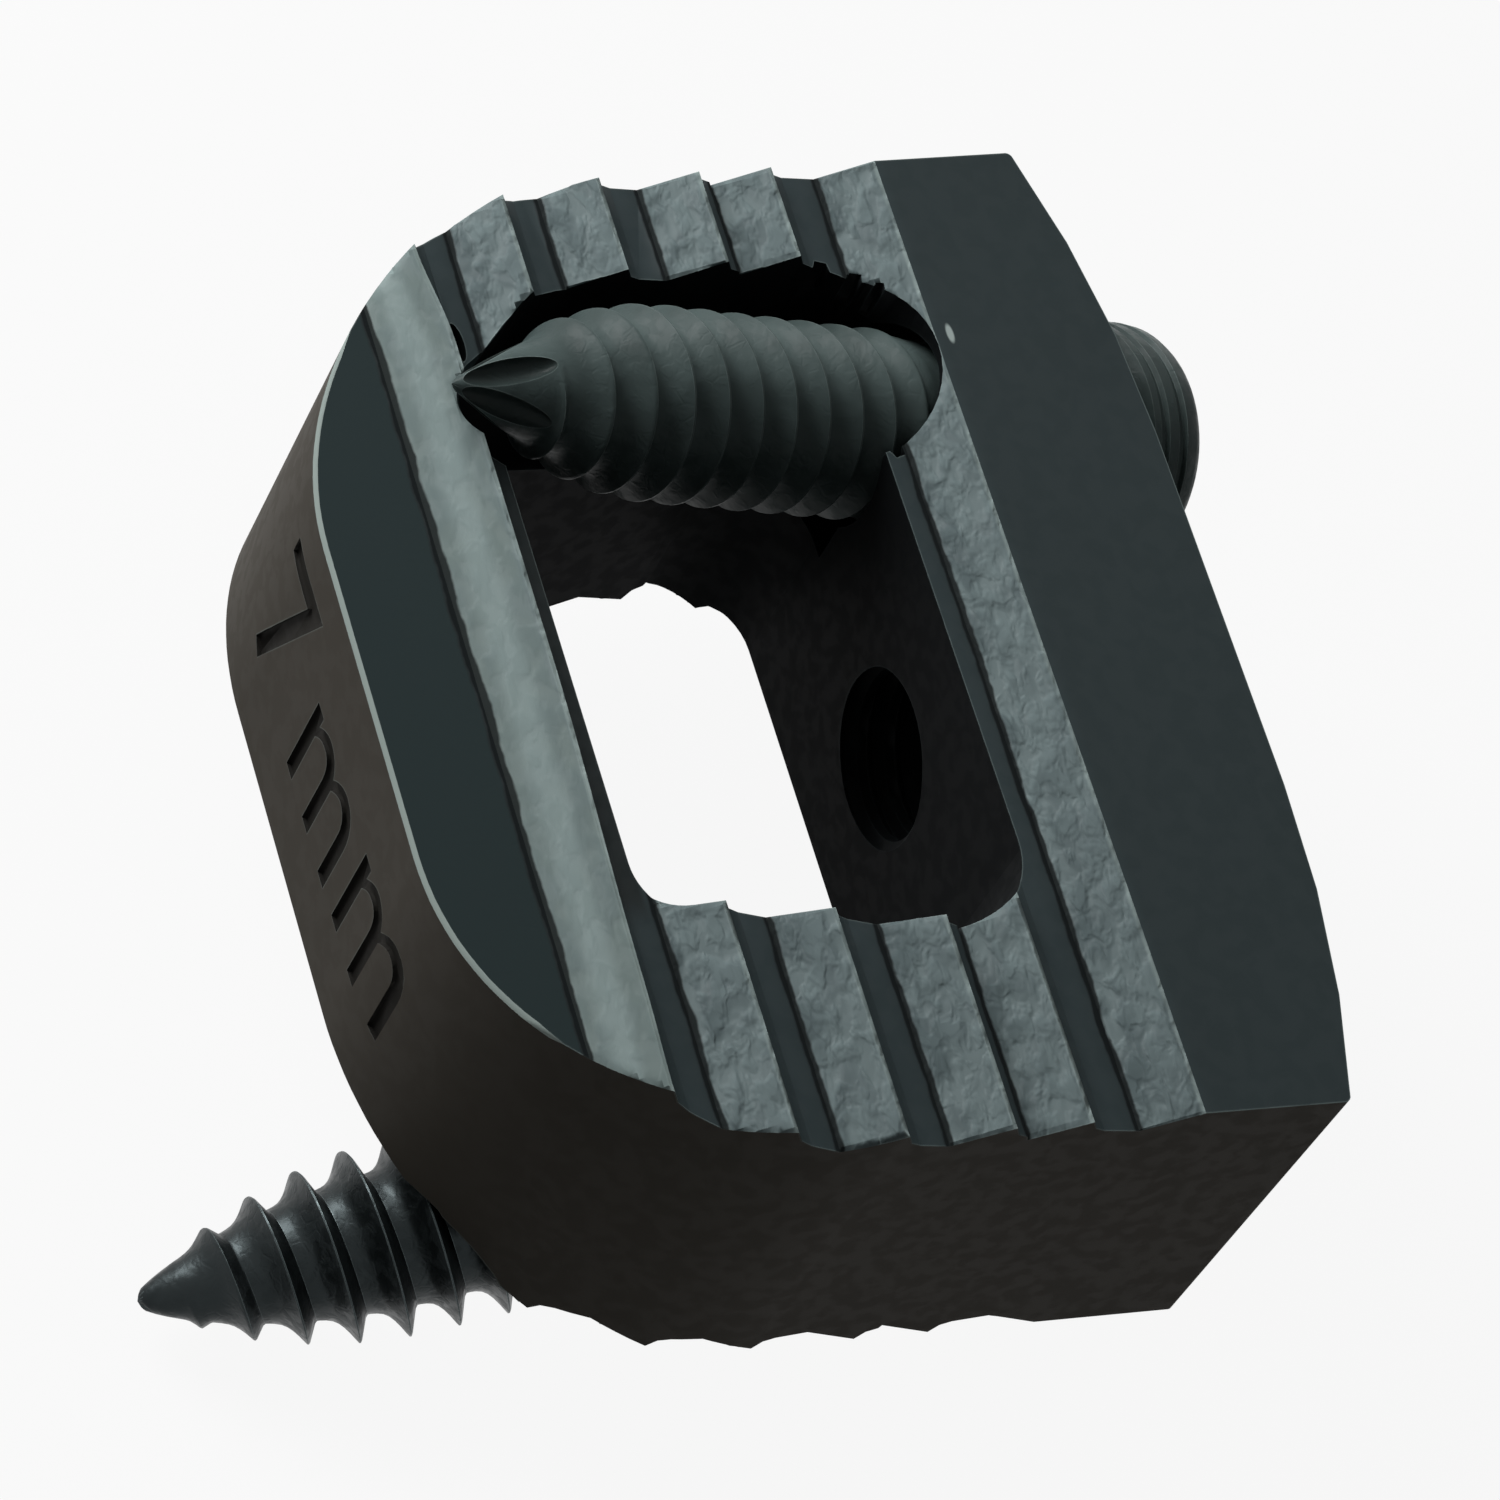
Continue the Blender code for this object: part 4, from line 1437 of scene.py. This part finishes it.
def make_wall_metal(name, base_colour, patch_colour, edge_highlight_colour, edge_highlight_share, specular):
    """Return a nearly even metal with a painted highlight on its edges."""
    material, tree, shader, coordinates = start_metal(name, 0.6, 0.0, specular)
    surface = use_group(
        tree, grain, coordinates, Patch_Scale=320.0, Flake_Scale=3000.0, Crack_Depth=0.0
    )
    edges = use_group(tree, edge_highlight_group, coordinates, Radius=WALL_EDGE_RADIUS)
    mottle = scaled(tree, surface.outputs["Patches"], 0.35)
    base = blend(tree, mottle, colour(base_colour), colour(patch_colour))
    # Painted highlight along the edges.
    base = blend(tree, scaled(tree, edges.outputs["Mask"], edge_highlight_share), base, colour(edge_highlight_colour))
    tree.links.new(base, shader.inputs["Base Color"])
    vary_roughness(tree, shader, surface.outputs["Flakes"], 0.55, 0.62)
    add_bump(tree, shader, surface.outputs["Height"], 0.15, 0.003)
    return material


# %% [markdown]
# Both screws are of one metal, given as a pale copy with painted light for the upper
# screw and a dark, more metallic copy with painted shade for the lower one. The grain and
# the painted highlight on the crests are the same, so one function makes both, and also
# the darker metal of the ground hollows, whose darkness is painted shade.

# %% The screws' metals
SCREW_EDGE_RADIUS = 0.035 * MM


def make_screw_metal(name, base_colour, patch_colour, edge_highlight_colour, metallic, specular):
    """Return a screw's metal: a pale copy with painted light, or a dark copy with painted shade."""
    material, tree, shader, coordinates = start_metal(name, 0.4, metallic, specular)
    surface = use_group(
        tree, grain, coordinates, Patch_Scale=900.0, Flake_Scale=4200.0, Crack_Depth=0.3
    )
    edges = use_group(tree, edge_highlight_group, coordinates, Radius=SCREW_EDGE_RADIUS)
    mottle = scaled(tree, surface.outputs["Patches"], 0.6)
    base = blend(tree, mottle, colour(base_colour), colour(patch_colour))
    # Painted highlight along the thread crests and edges.
    base = blend(tree, scaled(tree, edges.outputs["Mask"], 0.5), base, colour(edge_highlight_colour))
    tree.links.new(base, shader.inputs["Base Color"])
    vary_roughness(tree, shader, surface.outputs["Flakes"], 0.34, 0.46)
    add_bump(tree, shader, surface.outputs["Height"], 0.5, 0.016)
    return material


# %% [markdown]
# The faces were sorted into slots before there was a metal for them. Now each slot gets
# its own, and the stand-ins are deleted.

# %% Make the metals and give the cage its own
cage_metals = (
    make_smooth_metal(),
    make_flank_metal(),
    make_wall_metal("outer_wall_metal", "3a3732", "34312c", HIGHLIGHT_COLOUR, 0.15, 0.03),
    # The inside's near-black is painted shade in the window, the pockets and the holes.
    make_wall_metal("inside_painted_shade_metal", "0e1011", "0b0c0d", "343d3e", 0.3, 0.02),
    make_wall_metal("mark_metal", "1f1e1c", "1b1a18", "2a2a2a", 0.1, 0.02),
    # The chamfer's pale colour is a painted highlight.
    make_wall_metal("chamfer_painted_highlight_metal", "828d89", "76817e", HIGHLIGHT_COLOUR, 0.2, 0.1),
)
for slot, metal in enumerate(cage_metals):
    cage.data.materials[slot] = metal

# %% Give the screws their metals
def refinish(screw, stand_in, metal):
    """Put a metal in the slot that a stand-in has kept for it."""
    screw.data.materials[screw.data.materials.find(stand_in.name)] = metal


# The upper screw's pale copy of the screw metal, with painted light.
pale = make_screw_metal("screw_metal_painted_light", "414c4b", "2e3736", "7d8a88", 0.0, 0.06)
# The lower screw's dark copy of the same metal, with painted shade.
dark = make_screw_metal("screw_metal_painted_shade", "292e2f", "202526", "6f7b7c", 0.8, 0.2)
# The hollows' darker colour is painted shade.
ground = make_screw_metal("hollow_painted_shade_metal", "2a3231", "222928", "5a6563", 0.0, 0.06)
refinish(cranial_screw, shank_metal, pale)
refinish(caudal_screw, shank_metal, dark)
refinish(cranial_screw, hollow_metal, ground)
for material in list(bpy.data.materials):
    if material.name.startswith("to_finish_") or material.name.endswith("before_finishing"):
        bpy.data.materials.remove(material)
print("metals:", sorted(material.name for material in bpy.data.materials))

# %% [markdown]
# Nothing on the object moves, so every piece rides on the one body.

# %% Every piece rides on the one body
for piece, slot in ((cage, "cage"), (cranial_screw, "screws"), (caudal_screw, "screws")):
    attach(piece, "root")

# %% [markdown]
# ## The floor and the light
#
# The photograph has a plain white ground. The floor is a large pale sheet just below
# the lower screw's tip. What the camera and the reflections see of it is lit evenly,
# by the Light Path node, and the object's own shadow still falls on it.

# %% Lay the floor
FLOOR_SIZE = 4.0
FLOOR_DROP = 0.02
FLOOR_GREY = 0.4
GLOW_SHARE = 0.92


def seen_directly(tree):
    """Return 1 for what the camera, a reflection or a clear surface sees, and else 0."""
    path = tree.nodes.new("ShaderNodeLightPath")
    seen = maths(tree, "MAXIMUM", path.outputs["Is Camera Ray"], path.outputs["Is Glossy Ray"])
    return maths(tree, "MAXIMUM", seen, path.outputs["Is Transmission Ray"])


floor_height = cad_box[0][2] - FLOOR_DROP * MM
deselect_all()
bpy.ops.mesh.primitive_plane_add(size=FLOOR_SIZE, location=(0.0, 0.0, floor_height))
floor = bpy.context.object
floor.name = "floor"

floor_material = bpy.data.materials.new("pale_floor")
floor_material.use_nodes = True
floor_tree = floor_material.node_tree
paper = floor_tree.nodes["Principled BSDF"]
paper.inputs["Base Color"].default_value = (FLOOR_GREY, FLOOR_GREY, FLOOR_GREY, 1.0)
paper.inputs["Roughness"].default_value = 0.9
paper.inputs["Specular IOR Level"].default_value = 0.0
glow = floor_tree.nodes.new("ShaderNodeEmission")
glow.inputs["Color"].default_value = (1.0, 1.0, 1.0, 1.0)
glow.inputs["Strength"].default_value = 1.0
share_of_glow = maths(floor_tree, "MULTIPLY", seen_directly(floor_tree), GLOW_SHARE)
floor_mix = floor_tree.nodes.new("ShaderNodeMixShader")
floor_tree.links.new(share_of_glow, floor_mix.inputs[0])
floor_tree.links.new(paper.outputs[0], floor_mix.inputs[1])
floor_tree.links.new(glow.outputs[0], floor_mix.inputs[2])
floor_tree.links.new(floor_mix.outputs[0], floor_tree.nodes["Material Output"].inputs["Surface"])
floor.data.materials.append(floor_material)
print("floor at", round(floor_height / MM, 2), "mm")

# %% [markdown]
# The light is soft. A key lamp hangs low behind the cage's side and skims the flanks,
# and a broad fill lamp hangs above. The rest comes evenly from all round, and what is
# seen straight is white.

# %% Light the scene
AMBIENT = 0.08
LAMP_AIM = Vector((0.0, 7.0, 0.0)) * MM

world = bpy.data.worlds.new("studio")
bpy.context.scene.world = world
world.use_nodes = True
world_tree = world.node_tree
backdrop = world_tree.nodes["Background"]
backdrop.inputs["Color"].default_value = (1.0, 1.0, 1.0, 1.0)
strength = remap(world_tree, seen_directly(world_tree), 0.0, 1.0, AMBIENT, 1.0)
world_tree.links.new(strength, backdrop.inputs["Strength"])


def add_lamp(name, direction, distance, size, power):
    """Hang a square lamp in a direction from the cage, facing it."""
    lamp = bpy.data.lights.new(name, "AREA")
    lamp.shape = "SQUARE"
    lamp.size = size
    lamp.energy = power
    holder = bpy.data.objects.new(name, lamp)
    bpy.context.scene.collection.objects.link(holder)
    away = Vector(direction).normalized()
    holder.location = LAMP_AIM + away * distance
    holder.rotation_euler = away.to_track_quat("Z", "Y").to_euler()


add_lamp("key", (0.75, 0.47, 0.52), distance=0.10, size=0.06, power=0.15)
add_lamp("fill", (0.4, -0.3, 0.9), distance=0.30, size=0.20, power=0.06)

# %% [markdown]
# ## Finish
#
# The view transform is Standard, so a colour renders about as it is written.

# %% Finish
bpy.context.scene.view_settings.view_transform = "Standard"
deselect_all()
